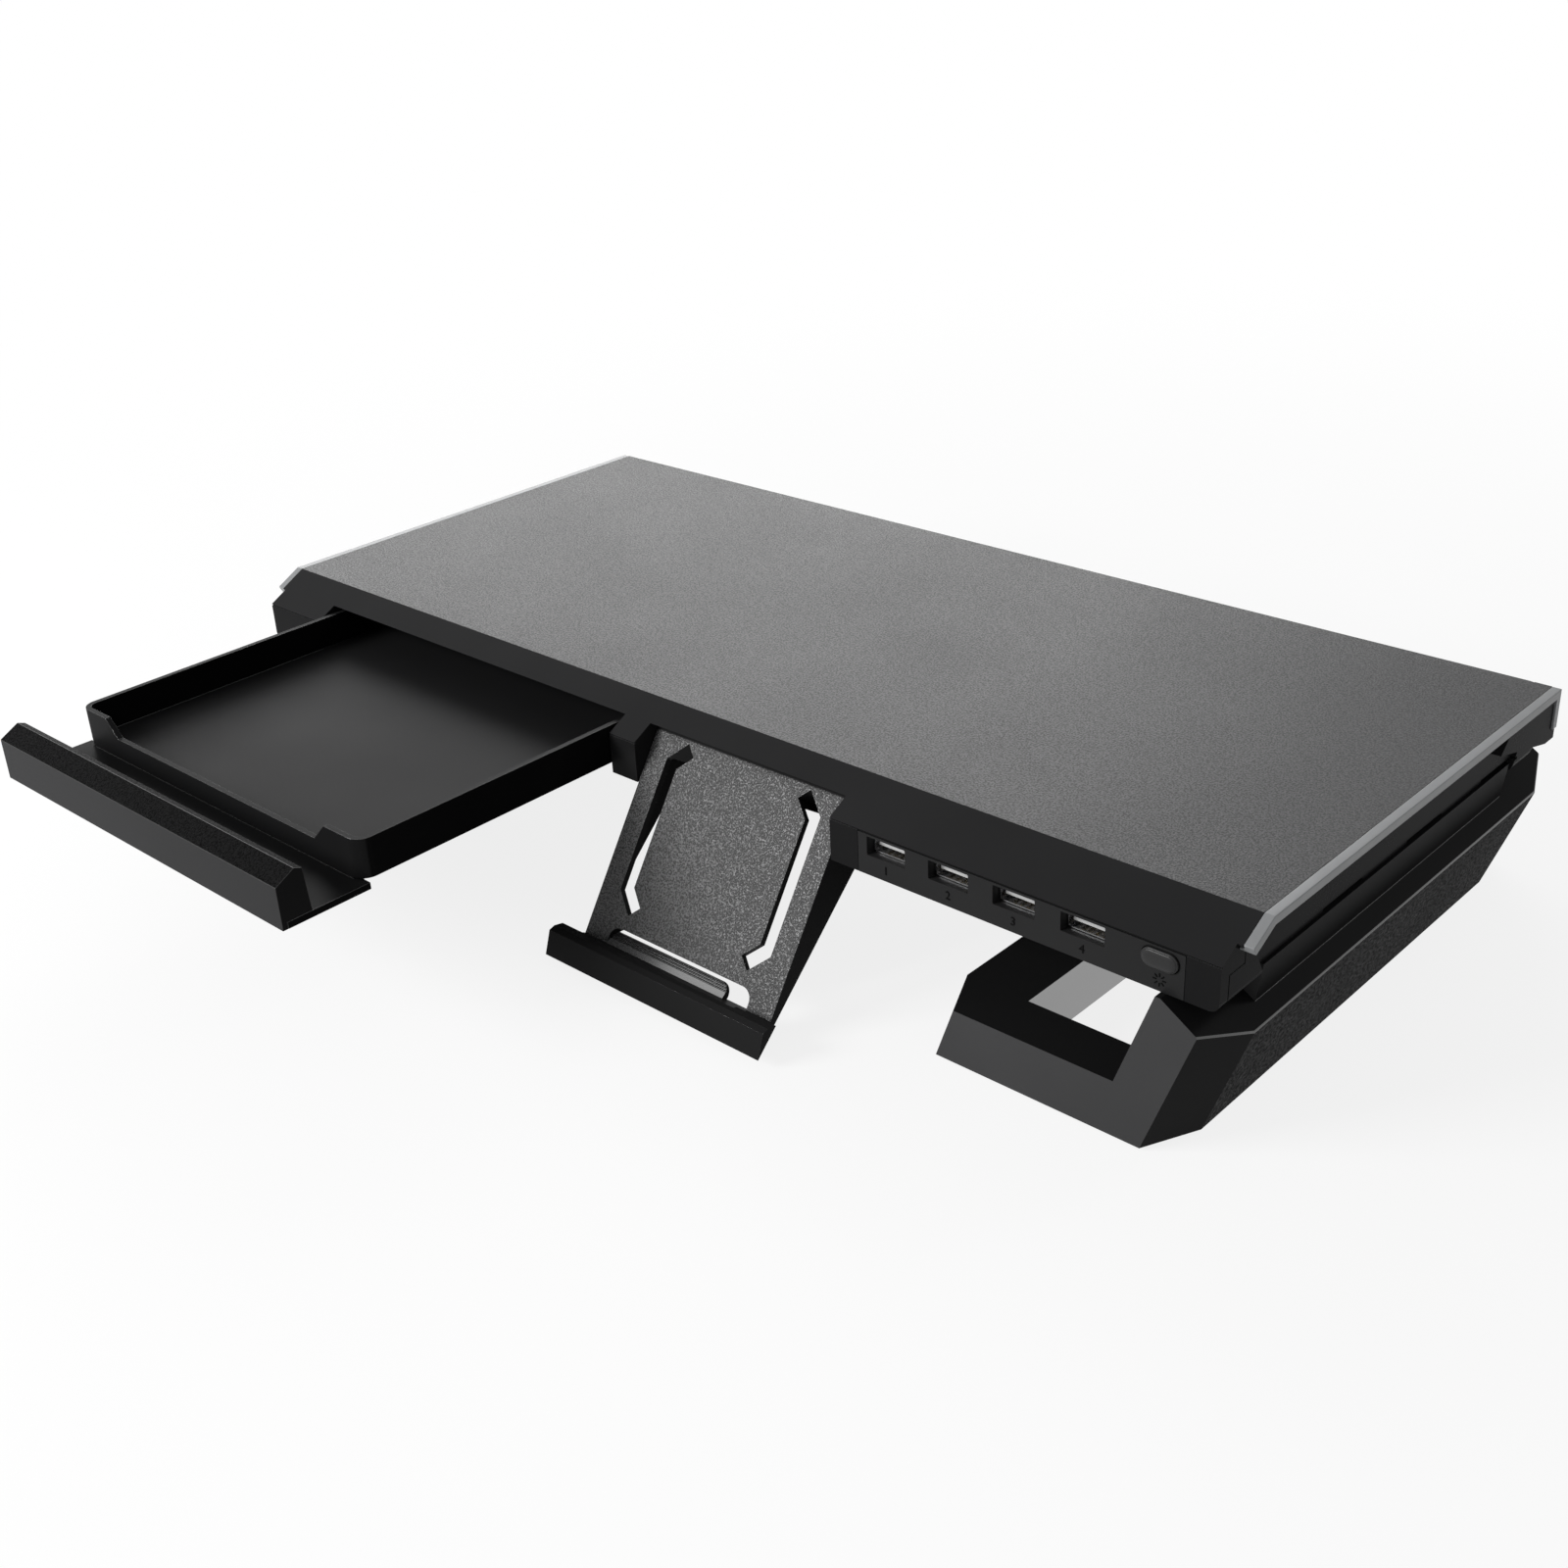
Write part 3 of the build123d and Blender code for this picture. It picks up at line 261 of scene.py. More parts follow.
class Finish:
    """The nodes of a material or a world, added by expressions."""

    def __init__(self, owner):
        owner.use_nodes = True
        self.owner = owner
        self.tree = owner.node_tree
        self.tree.nodes.clear()

    def node(self, kind, settings=None, inputs=None, output=0):
        """Add a node: its settings first, then the values or links of its sockets."""
        made = self.tree.nodes.new(kind)
        for name, value in (settings or {}).items():
            setattr(made, name, value)
        for name, value in (inputs or {}).items():
            if isinstance(value, Value):
                self.tree.links.new(value.socket, made.inputs[name])
            else:
                made.inputs[name].default_value = value
        return Value(self, made.outputs[output] if made.outputs else None)

    def place(self):
        return self.node("ShaderNodeTexCoord", output="Object")

    def noise(self, size, detail=2.0, roughness=0.5):
        """Cloudy noise whose spots are about this size in metres."""
        return self.node(
            "ShaderNodeTexNoise",
            {},
            {"Vector": self.place(), "Scale": 1 / size, "Detail": detail, "Roughness": roughness},
        )

    def facing(self, way, low=0.95, high=0.98):
        """1 on faces that look along a way by more than high, 0 by less than low."""
        turn = self.node("ShaderNodeTexCoord", output="Normal")
        lean = self.node(
            "ShaderNodeVectorMath", {"operation": "DOT_PRODUCT"}, {0: turn, 1: way}, output="Value"
        )
        return lean.between(low, high)

    def either(self, ways, low=0.95, high=0.98):
        """1 on faces that look along one of two ways."""
        return self.facing(ways[0], low, high).most(self.facing(ways[1], low, high))

    def aside(self):
        """Distance from the stand's middle to either end."""
        x = self.node("ShaderNodeSeparateXYZ", {}, {0: self.place()}, output="X")
        return x.math("ABSOLUTE", x)

    def tint(self, colour, share, low, high):
        """A colour that runs from low times to high times itself as share goes from 0 to 1."""
        dark = tuple(c * low for c in colour) + (1.0,)
        light = tuple(min(c * high, 1.0) for c in colour) + (1.0,)
        return self.node(
            "ShaderNodeMix", {"data_type": "RGBA"}, {0: share, 6: dark, 7: light}, output=2
        )

    def bump(self, height, depth, strength=1.0):
        return self.node(
            "ShaderNodeBump", {}, {"Height": height, "Distance": depth, "Strength": strength}
        )

    def shader(self, **sockets):
        """A Principled shader with these sockets fed."""
        inputs = {name.replace("_", " "): value for name, value in sockets.items()}
        return self.node("ShaderNodeBsdfPrincipled", {}, inputs)

    def broad(self):
        """Slow unevenness, as much below nothing as above."""
        return self.noise(CLOUD) - 0.5

    def uneven(self, colour, share):
        """A colour that is darker where share is below nothing, and lighter where above."""
        return self.tint(colour, share + 0.5, 0.0, 2.0)

    def grained(self, colour, roughness, specular, grain, depth, contrast):
        """Spark-eroded plastic, whose grain shows in its colour, gloss and relief."""
        broad = self.broad()
        peak = self.noise(grain, 2.0, 0.55).between(0.34, 0.66) - 0.5
        return self.shader(
            Base_Color=self.uneven(colour, peak * contrast + broad * 0.16),
            Roughness=roughness - peak * 0.18 + broad * 0.10,
            Specular_IOR_Level=specular,
            Normal=self.bump(peak, depth),
        )

    def satin(self, colour, roughness, specular, relief=0.003 * MM):
        """Smooth plastic, a little uneven in its colour and gloss."""
        broad = self.broad()
        fine = self.noise(FINE) - 0.5
        return self.shader(
            Base_Color=self.uneven(colour, broad * 0.20),
            Roughness=roughness + broad * 0.10 + fine * 0.06,
            Specular_IOR_Level=specular,
            Normal=self.bump(fine, relief),
        )

    def polished(self, colour, roughness, index):
        """Mirror-smooth plastic under a clear coat."""
        broad = self.broad()
        return self.shader(
            Base_Color=self.uneven(colour, broad * 0.20),
            Roughness=roughness + broad * 0.06,
            IOR=index,
            Specular_IOR_Level=1.0,
            Coat_Weight=1.0,
            Coat_Roughness=roughness,
        )

    def over(self, below, mask, above):
        """One finish over another where the mask is 1."""
        return self.node("ShaderNodeMixShader", {}, {0: mask, 1: below, 2: above})

    def close(self, shader):
        """Feed the output and hand over the material."""
        self.node("ShaderNodeOutputMaterial", {}, {"Surface": shader})
        return self.owner

    def finish(self, **sockets):
        return self.close(self.shader(**sockets))


def new_finish(name):
    """An empty finish on a material of its own."""
    return Finish(bpy.data.materials.new(name))


def times(colour, share):
    """A colour, this many times as light."""
    return tuple(c * share for c in colour)


def satin_plastic(name, colour, roughness, specular):
    """Smooth moulding."""
    f = new_finish(name)
    return f.close(f.satin(colour, roughness, specular))


def smooth_button(name, colour):
    """Smooth key without relief."""
    f = new_finish(name)
    return f.close(f.satin(colour, roughness=0.40, specular=0.24, relief=0.0))


def textured_shell(name, colour, grain):
    """Fine grain on the top, satin on the bevel, and a darker satin on the front and the end faces that
    paints shade there.
    """
    f = new_finish(name)
    shader = f.satin(times(colour, 0.50), roughness=0.44, specular=0.025)
    # Painted shade: the end faces get a smoother, darker copy of the satin, and the darkness stands in
    # for shade.
    painted_shade_ends = f.satin(times(colour, 0.34), roughness=0.26, specular=0.012)
    shader = f.over(shader, f.either(ENDS), painted_shade_ends)
    # Painted shade: the front faces get a darker copy of the satin.
    front = f.satin(times(colour, 0.30), roughness=0.44, specular=0.02)
    shader = f.over(shader, f.facing(FRONT), front)
    top = f.grained(
        colour, roughness=0.50, specular=0.22, grain=grain, depth=0.035 * MM, contrast=0.34
    )
    return f.close(f.over(shader, f.facing(UP, 0.92, 0.97), top))


def satin_tray(name, colour):
    """Satin tray with smoother side walls, darkened as painted shade."""
    f = new_finish(name)
    shader = f.satin(colour, roughness=0.44, specular=0.028)
    # Painted shade: the side walls get a darker copy of the satin; their lower roughness is real.
    walls = f.satin(times(colour, 0.4), roughness=0.24, specular=0.008)
    return f.close(f.over(shader, f.either(ENDS, 0.90, 0.96), walls))


def grained_leg(name, colour, pebble):
    """Pebble grain on the outer walls, polished walls in the foot's opening, satin elsewhere, lightened
    on the front faces as painted light.
    """
    f = new_finish(name)
    shader = f.satin(times(colour, 0.70), roughness=0.36, specular=0.012)
    # Painted light: the front faces get a lighter copy of the satin.
    front = f.satin(times(colour, 3.4), roughness=0.44, specular=0.02)
    shader = f.over(shader, f.facing(FRONT), front)
    opening = f.either(ENDS, 0.97, 0.99) * (1 - f.aside().between(FOOT_RIM, FOOT_RIM + MM))
    shader = f.over(shader, opening, f.polished(colour, roughness=0.10, index=2.0))
    walls = f.grained(
        colour, roughness=0.48, specular=0.004, grain=1.6 * pebble, depth=0.08 * MM, contrast=0.9
    )
    return f.close(f.over(shader, f.either(LEG_WALLS, 0.985, 0.996), walls))


def pebbled_holder(name, colour, pebble):
    """Pebble grain on the face, a polished cable ledge with a painted sheen, satin elsewhere."""
    f = new_finish(name)
    shader = f.satin(times(colour, 0.34), roughness=0.40, specular=0.02)
    # Painted sheen: the ledge's colour is doubled to show a light band; its polish is real.
    ledge = f.polished(times(colour, 2.0), roughness=0.22, index=1.9)
    shader = f.over(shader, f.facing(LEDGE_FACE, 0.985, 0.995), ledge)
    face = f.grained(
        colour, roughness=0.44, specular=0.42, grain=pebble, depth=0.11 * MM, contrast=1.3
    )
    return f.close(f.over(shader, f.facing(HOLDER_FACE, 0.985, 0.995), face))


def grained_bar(name, colour, pebble):
    """Pebble grain on the sloped top of the drawer's bar, satin with painted light on its front."""
    f = new_finish(name)
    shader = f.satin(colour, roughness=0.40, specular=0.03)
    # Painted light: the front faces get a lighter copy of the satin.
    front = f.satin(times(colour, 3.6), roughness=0.40, specular=0.04)
    shader = f.over(shader, f.facing(FRONT), front)
    slope = f.grained(
        times(colour, 0.6), roughness=0.44, specular=0.020, grain=pebble, depth=0.08 * MM, contrast=1.0
    )
    return f.close(f.over(shader, f.facing(UP, 0.40, 0.50), slope))


def frosted_strip(name, colour):
    """Milky diffuser, a little cloudy inside."""
    f = new_finish(name)
    cloud = f.noise(12 * MM)
    fine = f.noise(0.4 * MM)
    return f.finish(
        Base_Color=f.tint(colour, cloud, 0.88, 1.10),
        Roughness=0.34 + (fine - 0.5) * 0.16,
        Specular_IOR_Level=0.2,
        Subsurface_Weight=0.15,
        Subsurface_Radius=(2 * MM, 2 * MM, 2 * MM),
        Normal=f.bump(fine, 0.01 * MM, 0.4),
    )


def plated_metal(name, colour, roughness):
    """Plated sheet or turned metal with a fine brushed break-up."""
    f = new_finish(name)
    fine = f.noise(0.25 * MM, 3.0)
    broad = f.noise(6 * MM)
    return f.finish(
        Base_Color=f.tint(colour, broad, 0.82, 1.12),
        Metallic=1.0,
        Roughness=roughness + (fine - 0.5) * 0.14 + (broad - 0.5) * 0.10,
        Normal=f.bump(fine, 0.006 * MM, 0.5),
    )


def soft_rubber(name, colour):
    """Matt rubber with a dusty bloom."""
    f = new_finish(name)
    fine = f.noise(0.3 * MM, 3.0)
    bloom = f.noise(8 * MM)
    return f.finish(
        Base_Color=f.tint(colour, bloom, 0.75, 1.5),
        Roughness=0.86 + (fine - 0.5) * 0.12,
        Specular_IOR_Level=0.25,
        Normal=f.bump(fine, 0.03 * MM, 0.6),
    )


def solder_mask(name, colour):
    """Circuit board with traces under the mask."""
    f = new_finish(name)
    trace = f.node(
        "ShaderNodeTexBrick",
        {"offset": 0.5},
        {
            "Vector": f.place(), "Scale": 1 / (6 * MM), "Mortar Size": 0.06,
            "Color1": (0.3, 0.3, 0.3, 1), "Color2": (0.45, 0.45, 0.45, 1), "Mortar": (1, 1, 1, 1),
        },
        output="Fac",
    )
    weave = f.noise(0.5 * MM)
    return f.finish(
        Base_Color=f.tint(colour, trace * 0.6 + weave * 0.4, 0.7, 1.7),
        Roughness=0.36 + (weave - 0.5) * 0.10,
        Normal=f.bump(trace, 0.02 * MM, 0.4),
    )


def make_finishes():
    """One material for each of the record's slots, and some more for single faces."""
    c = bpy.context.scene.stand_colours
    s = bpy.context.scene.stand_sizes
    return {
        "shell_plastic": textured_shell("textured_shell", tuple(c.shell), s.grain_size),
        "frame_plastic": satin_plastic("satin_frame", tuple(c.frame), roughness=0.46, specular=0.06),
        "tray": satin_tray("satin_tray", tuple(c.frame)),
        "leg_plastic": grained_leg("grained_leg", tuple(c.legs), s.pebble_size),
        "holder_plastic": pebbled_holder("pebbled_holder", tuple(c.holder), s.pebble_size),
        "bar": grained_bar("grained_bar", tuple(c.bar), s.pebble_size),
        "hub_face": satin_plastic("hub_face", tuple(c.hub), roughness=0.38, specular=0.08),
        "edge": satin_plastic("polished_edge", tuple(c.edge), roughness=0.24, specular=1.0),
        "leg_edge": satin_plastic("leg_edge", tuple(c.edge), roughness=0.28, specular=0.95),
        "soft_edge": satin_plastic("soft_edge", tuple(c.soft_edge), roughness=0.42, specular=0.20),
        "legend": satin_plastic("legend_black", tuple(c.legend), roughness=0.40, specular=0.04),
        "diffuser": frosted_strip("frosted_strip", tuple(c.diffuser)),
        "light_tape": frosted_strip("light_tape", tuple(c.tape)),
        "board": solder_mask("board_mask", tuple(c.board)),
        "port_metal": plated_metal("port_plating", tuple(c.steel), roughness=0.26),
        "port_insert": satin_plastic("port_insert", tuple(c.insert), roughness=0.38, specular=0.5),
        "contact": plated_metal("contact_plating", tuple(c.contact), roughness=0.24),
        "button_plastic": smooth_button("button_gloss", tuple(c.hub)),
        "switch_plastic": satin_plastic("switch_body", tuple(c.frame), roughness=0.50, specular=0.40),
        "screw_steel": plated_metal("screw_zinc", tuple(c.steel), roughness=0.32),
        "pin_steel": plated_metal("pin_steel", tuple(c.steel), roughness=0.22),
        "pad_rubber": soft_rubber("pad_rubber", tuple(c.rubber)),
    }


FINISHES = {}
SLOT_OF = {row["node"]: row["material_slot"] for row in frame["record"]["subparts"]}


def select_only(piece):
    """Make one object the only selected and active one."""
    bpy.ops.object.select_all(action="DESELECT")
    piece.select_set(True)
    bpy.context.view_layer.objects.active = piece


def dress(piece, slot):
    """Give a piece the finish of a slot, and nothing else."""
    piece.data.materials.clear()
    piece.data.materials.append(FINISHES[slot])


def dress_node(name):
    """Give a solid that stays its own finish."""
    dress(NODES[name], SLOT_OF[name])


def carry(piece, name, body):
    """Name a new piece and let it ride on a body."""
    piece.name = name
    piece.data.name = name
    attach(piece, body)


def block(low, high):
    """A block between two corners, as an object of its own."""
    middle = (low + high) / 2
    bpy.ops.mesh.primitive_cube_add(size=1, location=middle)
    piece = bpy.context.view_layer.objects.active
    piece.scale = high - low
    bpy.ops.object.transform_apply(location=True, rotation=True, scale=True)
    return piece


def seam_cutter(width):
    """The bars that cut a stepped seam round the front lug of each end face."""
    bpy.ops.object.select_all(action="DESELECT")
    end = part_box("light_strip_right")[1].x - STRIP_REACH
    bars = []
    for side in (-1, 1):
        for (y0, z0), (y1, z1) in zip(SEAM[:-1], SEAM[1:]):
            half = Vector((width, width / 2, width / 2))
            first, second = Vector((side * end, y0, z0)), Vector((side * end, y1, z1))
            low = Vector(map(min, first, second)) - half
            high = Vector(map(max, first, second)) + half
            bars.append(block(low, high))
    bpy.ops.object.select_all(action="DESELECT")
    for piece in bars:
        piece.select_set(True)
    bpy.context.view_layer.objects.active = bars[0]
    bpy.ops.object.join()
    return bpy.context.view_layer.objects.active


def cut(piece, cutter):
    """Cut one object out of another and throw the cutter away."""
    select_only(piece)
    trim = piece.modifiers.new("trim", "BOOLEAN")
    trim.operation = "DIFFERENCE"
    trim.object = cutter
    trim.solver = "EXACT"
    trim.use_self = True
    bpy.ops.object.modifier_apply(modifier=trim.name)
    select_only(cutter)
    bpy.ops.object.delete()
    select_only(piece)


def weigh_rim(piece, sharp, rise):
    """Mark the long sharp edges round the lower half of the faces of one slope."""
    bpy.ops.object.mode_set(mode="EDIT")
    bpy.ops.mesh.select_mode(type="EDGE")
    bpy.ops.mesh.select_all(action="DESELECT")
    bpy.ops.mesh.edges_select_sharp(sharpness=sharp)
    bpy.ops.object.mode_set(mode="OBJECT")
    mesh = piece.data
    weights = mesh.attributes.new("bevel_weight_edge", "FLOAT", "EDGE")
    slopes = [face for face in mesh.polygons if abs(face.normal.z - rise) < SLOPE_SPREAD]
    middle = {key: face.center.z for face in slopes for key in face.edge_keys}
    # An edge off these faces has no middle to lie under, so it stays sharp
    for edge in mesh.edges:
        first, second = (mesh.vertices[end].co for end in edge.vertices)
        long = (second - first).length > LONG_EDGE
        low = (first.z + second.z) / 2 < middle.get(edge.key, 0)
        weights.data[edge.index].value = float(edge.select and long and low)


def rounded(name, radius, finish=None, edge="edge", sharp=SHARP, cutter=None, rise=None):
    """A copy of a moulding with its edges rounded, in place of the solid.

    With a rise, only the lower long edges of the faces of that slope are rounded.
    """
    source = NODES[name]
    select_only(source)
    bpy.ops.object.duplicate()
    piece = bpy.context.view_layer.objects.active
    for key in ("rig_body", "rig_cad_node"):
        del piece[key]
    bpy.ops.object.mode_set(mode="EDIT")
    bpy.ops.mesh.select_all(action="SELECT")
    bpy.ops.mesh.remove_doubles(threshold=WELD)
    bpy.ops.mesh.dissolve_limited(angle_limit=FLAT)
    bpy.ops.object.mode_set(mode="OBJECT")
    if cutter:
        cut(piece, cutter)
    if rise:
        weigh_rim(piece, sharp, rise)
    bpy.ops.object.shade_smooth_by_angle(angle=sharp)
    bevel = piece.modifiers.new("edge", "BEVEL")
    bevel.width = radius
    bevel.segments = EDGE_STEPS
    bevel.limit_method = "WEIGHT" if rise else "ANGLE"
    bevel.angle_limit = sharp
    bevel.use_clamp_overlap = not rise
    dress(piece, finish or SLOT_OF[name])
    if edge:
        piece.data.materials.append(FINISHES[edge])
        bevel.material = 1
    bpy.ops.object.modifier_apply(modifier=bevel.name)
    even = piece.modifiers.new("even", "WEIGHTED_NORMAL")
    even.keep_sharp = bool(rise)
    bpy.ops.object.modifier_apply(modifier=even.name)
    body = source["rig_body"]
    carry(piece, name + "_rounded", body)
    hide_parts(name)
    return piece


class StandOperator:
    """What all operators of the stand share."""

    bl_options = {"REGISTER", "UNDO"}

    @property
    def sizes(self):
        return bpy.context.scene.stand_sizes


class STAND_OT_body(StandOperator, bpy.types.Operator):
    """Round the top shell and finish the body"""

    bl_idname = "stand.body"
    bl_label = "Body"

    def execute(self, context):
        s = self.sizes
        rounded("top_shell", s.shell_edge, edge="soft_edge", cutter=seam_cutter(s.seam_width))
        dress_node("bottom_cover")
        return {"FINISHED"}


class STAND_OT_light_strips(StandOperator, bpy.types.Operator):
    """Finish the frosted strips and the tape beside them"""

    bl_idname = "stand.light_strips"
    bl_label = "Light strips"

    def execute(self, context):
        for side in ("left", "right"):
            rounded("light_strip_" + side, self.sizes.fine_edge, edge=None)
            dress_node("light_tape_" + side)
        return {"FINISHED"}


class STAND_OT_hub(StandOperator, bpy.types.Operator):
    """Finish the hub panel, its ports, its button and the board behind"""

    bl_idname = "stand.hub"
    bl_label = "Hub"

    def execute(self, context):
        rounded("hub_panel", self.sizes.fine_edge, "hub_face", edge="soft_edge")
        rounded("light_button", self.sizes.fine_edge, edge=None)
        self.crown()
        for name in (
            "port_shells", "port_tongues", "port_contacts", "hub_board", "button_switch",
            "rear_socket", "board_screws",
        ):
            dress_node(name)
        return {"FINISHED"}

    def crown(self):
        """Lay a pill-shaped crown on the button's face."""
        s = self.sizes
        low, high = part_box("light_button")
        radius = CROWN_SHARE * (high.z - low.z) / 2
        bpy.ops.object.select_all(action="DESELECT")
        bpy.ops.mesh.primitive_uv_sphere_add(
            segments=CROWN_SEGMENTS,
            ring_count=CROWN_RINGS,
            radius=radius,
            rotation=(0, math.radians(90), 0),
        )
        piece = bpy.context.view_layer.objects.active
        bpy.ops.object.transform_apply(location=True, rotation=True, scale=True)
        bpy.ops.object.mode_set(mode="EDIT")
        bpy.ops.mesh.select_mode(type="VERT")
        for side in (-1, 1):
            bpy.ops.mesh.select_all(action="DESELECT")
            bpy.ops.object.mode_set(mode="OBJECT")
            for point in piece.data.vertices:
                point.select = side * point.co.x > 0
            bpy.ops.object.mode_set(mode="EDIT")
            bpy.ops.transform.translate(value=(side * s.button_straight / 2, 0, 0))
        bpy.ops.mesh.select_all(action="SELECT")
        bpy.ops.transform.resize(value=(1, s.button_crown / radius, 1), center_override=(0, 0, 0))
        bpy.ops.mesh.bisect(plane_co=(0, 0, 0), plane_no=FRONT, use_fill=True, clear_inner=True)
        bpy.ops.object.mode_set(mode="OBJECT")
        piece.location = ((low.x + high.x) / 2, low.y, (low.z + high.z) / 2)
        bpy.ops.object.transform_apply(location=True, rotation=True, scale=True)
        bpy.ops.object.shade_smooth_by_angle(angle=2 * SHARP)
        dress(piece, "button_plastic")
        carry(piece, "button_crown", "button")


class STAND_OT_numerals(StandOperator, bpy.types.Operator):
    """Raise a numeral under each port and a light sign under the button"""

    bl_idname = "stand.numerals"
    bl_label = "Numerals"

    def execute(self, context):
        s = self.sizes
        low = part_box("hub_panel")[0]
        ports_low, ports_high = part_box("port_shells")
        middle = (ports_low.z + ports_high.z) / 2
        first = (ports_low.x + ports_high.x) / 2 - PORT_PITCH * (PORTS - 1) / 2
        for count in range(PORTS):
            x = first + PORT_PITCH * count
            self.numeral(str(count + 1), x, low.y, middle - s.numeral_drop)
        button_low, button_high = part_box("light_button")
        self.sign((button_low.x + button_high.x) / 2, low.y, middle - s.numeral_drop)
        return {"FINISHED"}

    def numeral(self, text, x, y, z):
        s = self.sizes
        bpy.ops.object.select_all(action="DESELECT")
        bpy.ops.object.text_add(location=(x, y, z), rotation=(math.radians(90), 0, 0))
        piece = bpy.context.view_layer.objects.active
        piece.data.body = text
        piece.data.size = s.numeral_height / DIGIT_SHARE
        piece.data.extrude = s.numeral_relief
        piece.data.align_x = "CENTER"
        piece.data.align_y = "CENTER"
        piece.data.resolution_u = DIGIT_STEPS
        bpy.ops.object.convert(target="MESH")
        piece = bpy.context.view_layer.objects.active
        bpy.ops.object.transform_apply(location=True, rotation=True, scale=True)
        dress(piece, "legend")
        carry(piece, "port_numeral_" + text, "stand")

    def sign(self, x, y, z):
        s = self.sizes
        bpy.ops.object.select_all(action="DESELECT")
        long, thin = s.sign_radius * RAY_LENGTH, s.sign_radius * RAY_WIDTH
        bpy.ops.mesh.primitive_cube_add(size=1, location=(x, y, z + s.sign_radius - long / 2))
        piece = bpy.context.view_layer.objects.active
        piece.scale = (thin, s.numeral_relief * 2, long)
        bpy.ops.object.transform_apply(location=True, rotation=True, scale=True)
        bpy.ops.object.mode_set(mode="EDIT")
        bpy.ops.mesh.select_all(action="SELECT")
        bpy.ops.mesh.bevel(offset=thin * RAY_ROUND, segments=EDGE_STEPS, affect="EDGES")
        for _ in range(1, SIGN_RAYS):
            bpy.ops.mesh.duplicate()
            bpy.ops.transform.rotate(
                value=2 * math.pi / SIGN_RAYS, orient_axis="Y", center_override=(x, y, z)
            )
        bpy.ops.object.mode_set(mode="OBJECT")
        dress(piece, "legend")
        carry(piece, "light_sign", "stand")


class STAND_OT_legs(StandOperator, bpy.types.Operator):
    """Round the legs' shoulders and finish their covers and pads"""

    bl_idname = "stand.legs"
    bl_label = "Legs"

    def execute(self, context):
        for side in ("left", "right"):
            rounded(
                f"leg_{side}_shell",
                self.sizes.leg_edge,
                edge="leg_edge",
                sharp=SHARP / 2,
                rise=SHOULDER_RISE,
            )
            dress_node(f"leg_{side}_cover")
        dress_node("foot_pads")
        return {"FINISHED"}


class STAND_OT_drawer(StandOperator, bpy.types.Operator):
    """Round the drawer's bar and tray"""

    bl_idname = "stand.drawer"
    bl_label = "Drawer"

    def execute(self, context):
        rounded("drawer_front", self.sizes.shell_edge, "bar", edge="soft_edge")
        rounded("drawer_tray", self.sizes.shell_edge, "tray")
        return {"FINISHED"}


class STAND_OT_holder(StandOperator, bpy.types.Operator):
    """Round the phone holder and finish its back and its carriage"""

    bl_idname = "stand.holder"
    bl_label = "Phone holder"

    def execute(self, context):
        rounded("holder_panel", self.sizes.fine_edge)
        dress_node("holder_back")
        dress_node("holder_carriage")
        return {"FINISHED"}


class STAND_OT_fasteners(StandOperator, bpy.types.Operator):
    """Finish screws and pins"""

    bl_idname = "stand.fasteners"
    bl_label = "Fasteners"

    def execute(self, context):
        for name in (
            "cover_screws", "drawer_screws", "holder_screws", "leg_cover_screws", "leg_screws",
            "hinge_pins",
        ):
            dress_node(name)
        return {"FINISHED"}


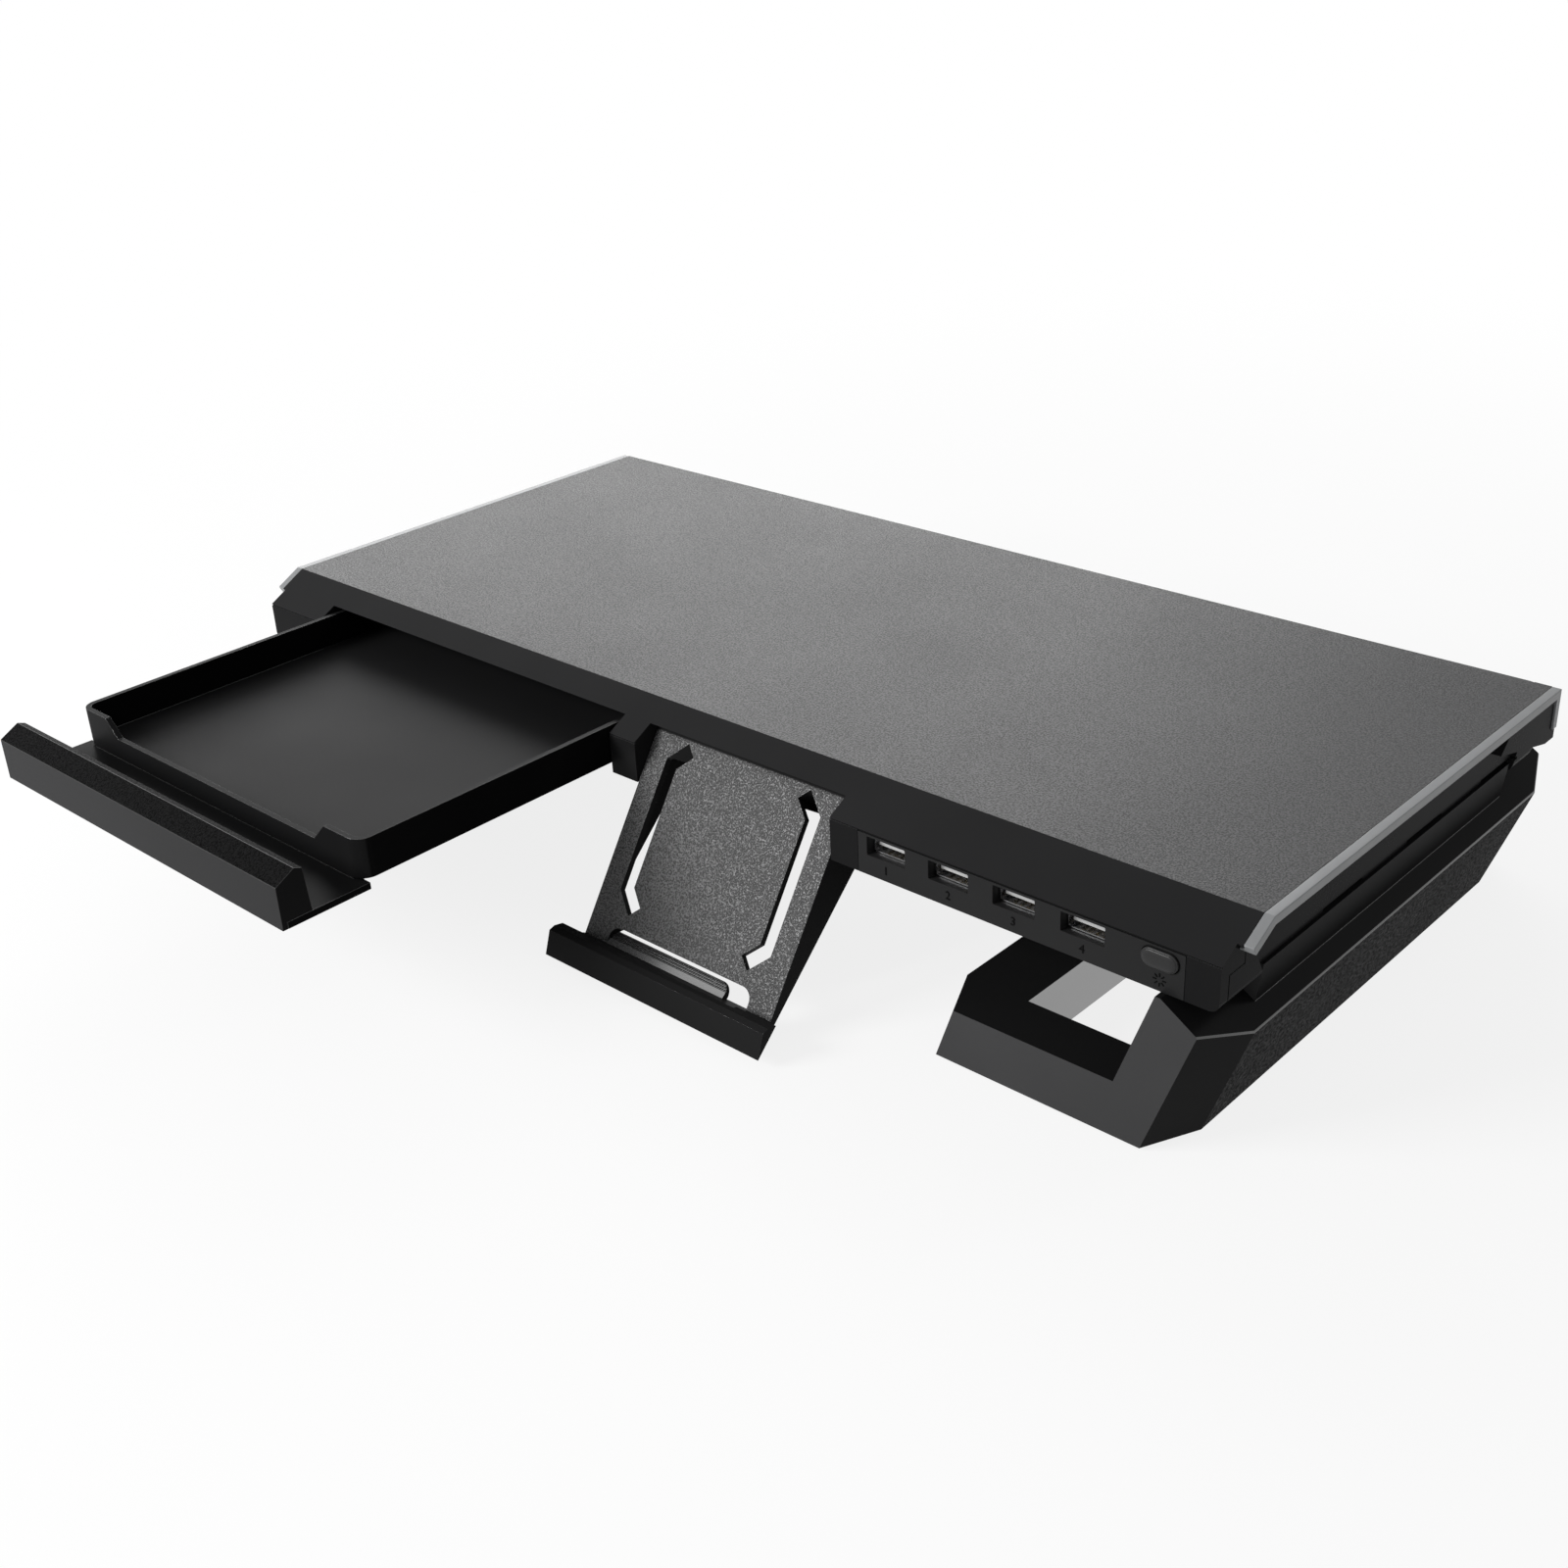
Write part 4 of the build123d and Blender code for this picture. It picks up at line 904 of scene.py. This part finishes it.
class STAND_OT_stage(StandOperator, bpy.types.Operator):
    """Lay the floor, set the lamps and place the camera"""

    bl_idname = "stand.stage"
    bl_label = "Stage"

    def execute(self, context):
        stage = context.scene.stand_stage
        self.floor(stage)
        self.world(context.scene, stage)
        for name, place, aim, size in LAMPS:
            self.lamp(name + "_lamp", place, aim, size, getattr(stage, name + "_power"))
        self.camera(context.scene, stage)
        context.scene.view_settings.view_transform = "Standard"
        return {"FINISHED"}

    def floor(self, stage):
        bpy.ops.object.select_all(action="DESELECT")
        bpy.ops.mesh.primitive_plane_add(size=stage.floor_size, location=(0, 0, -FLOOR_GAP))
        floor = bpy.context.view_layer.objects.active
        floor.name = "floor"
        f = new_finish("pale_floor")
        broad = f.noise(0.8)
        matt = f.node("ShaderNodeBsdfDiffuse", {}, {"Color": f.tint(FLOOR_GREY, broad, 0.99, 1.01)})
        glow = f.node("ShaderNodeEmission", {}, {"Color": WHITE, "Strength": 1.0})
        away = f.node("ShaderNodeVectorMath", {"operation": "LENGTH"}, {0: f.place()}, output="Value")
        share = away.between(*GLOW_REACH) * (1 - GLOW_NEAR) + GLOW_NEAR
        floor.data.materials.append(f.close(f.over(matt, self.seen(f) * share, glow)))

    def seen(self, f):
        """1 for rays that show the surroundings: from the camera, in a gloss or through a clear."""
        names = ("Is Camera Ray", "Is Glossy Ray", "Is Transmission Ray")
        rays = [f.node("ShaderNodeLightPath", output=name) for name in names]
        return rays[0].most(rays[1]).most(rays[2])

    def world(self, scene, stage):
        scene.world = bpy.data.worlds.new("studio")
        f = Finish(scene.world)
        strength = self.seen(f) * (1.0 - stage.ambient) + stage.ambient
        sky = f.node("ShaderNodeBackground", {}, {"Color": WHITE, "Strength": strength})
        f.node("ShaderNodeOutputWorld", {}, {"Surface": sky})

    def lamp(self, name, place, aim, size, power):
        bpy.ops.object.light_add(type="AREA", location=place)
        lamp = bpy.context.view_layer.objects.active
        lamp.name = name
        lamp.data.shape = "RECTANGLE"
        lamp.data.size, lamp.data.size_y = size
        lamp.data.energy = power
        look = Vector(aim) - Vector(place)
        lamp.rotation_euler = look.to_track_quat("-Z", "Y").to_euler()

    def camera(self, scene, stage):
        bpy.ops.object.camera_add()
        camera = bpy.context.view_layer.objects.active
        camera.data.lens = stage.lens
        camera.data.sensor_width = SENSOR
        turn = Matrix((CAMERA_RIGHT, CAMERA_UP, CAMERA_BACK)).transposed().to_4x4()
        camera.matrix_world = Matrix.Translation(CAMERA_PLACE) @ turn
        scene.camera = camera


PIECE_OPERATORS = (
    STAND_OT_body,
    STAND_OT_light_strips,
    STAND_OT_hub,
    STAND_OT_numerals,
    STAND_OT_legs,
    STAND_OT_drawer,
    STAND_OT_holder,
    STAND_OT_fasteners,
    STAND_OT_stage,
)


class STAND_PT_panel(bpy.types.Panel):
    """Sizes, colours and steps of the stand"""

    bl_label = "Monitor stand"
    bl_idname = "STAND_PT_panel"
    bl_space_type = "VIEW_3D"
    bl_region_type = "UI"
    bl_category = "Stand"

    def draw(self, context):
        scene = context.scene
        for group in (scene.stand_sizes, scene.stand_colours, scene.stand_stage):
            box = self.layout.box()
            for name in group.__annotations__:
                box.prop(group, name)
        for step in PIECE_OPERATORS:
            self.layout.operator(step.bl_idname)


CLASSES = (StandSizes, StandColours, StageSettings) + PIECE_OPERATORS + (STAND_PT_panel,)


def register():
    for entry in CLASSES:
        bpy.utils.register_class(entry)
    bpy.types.Scene.stand_sizes = bpy.props.PointerProperty(type=StandSizes)
    bpy.types.Scene.stand_colours = bpy.props.PointerProperty(type=StandColours)
    bpy.types.Scene.stand_stage = bpy.props.PointerProperty(type=StageSettings)


def unregister():
    del bpy.types.Scene.stand_stage
    del bpy.types.Scene.stand_colours
    del bpy.types.Scene.stand_sizes
    for entry in reversed(CLASSES):
        bpy.utils.unregister_class(entry)


def main():
    register()
    FINISHES.update(make_finishes())
    for step in PIECE_OPERATORS:
        group, name = step.bl_idname.split(".")
        getattr(getattr(bpy.ops, group), name)()


if __name__ == "__main__":
    main()
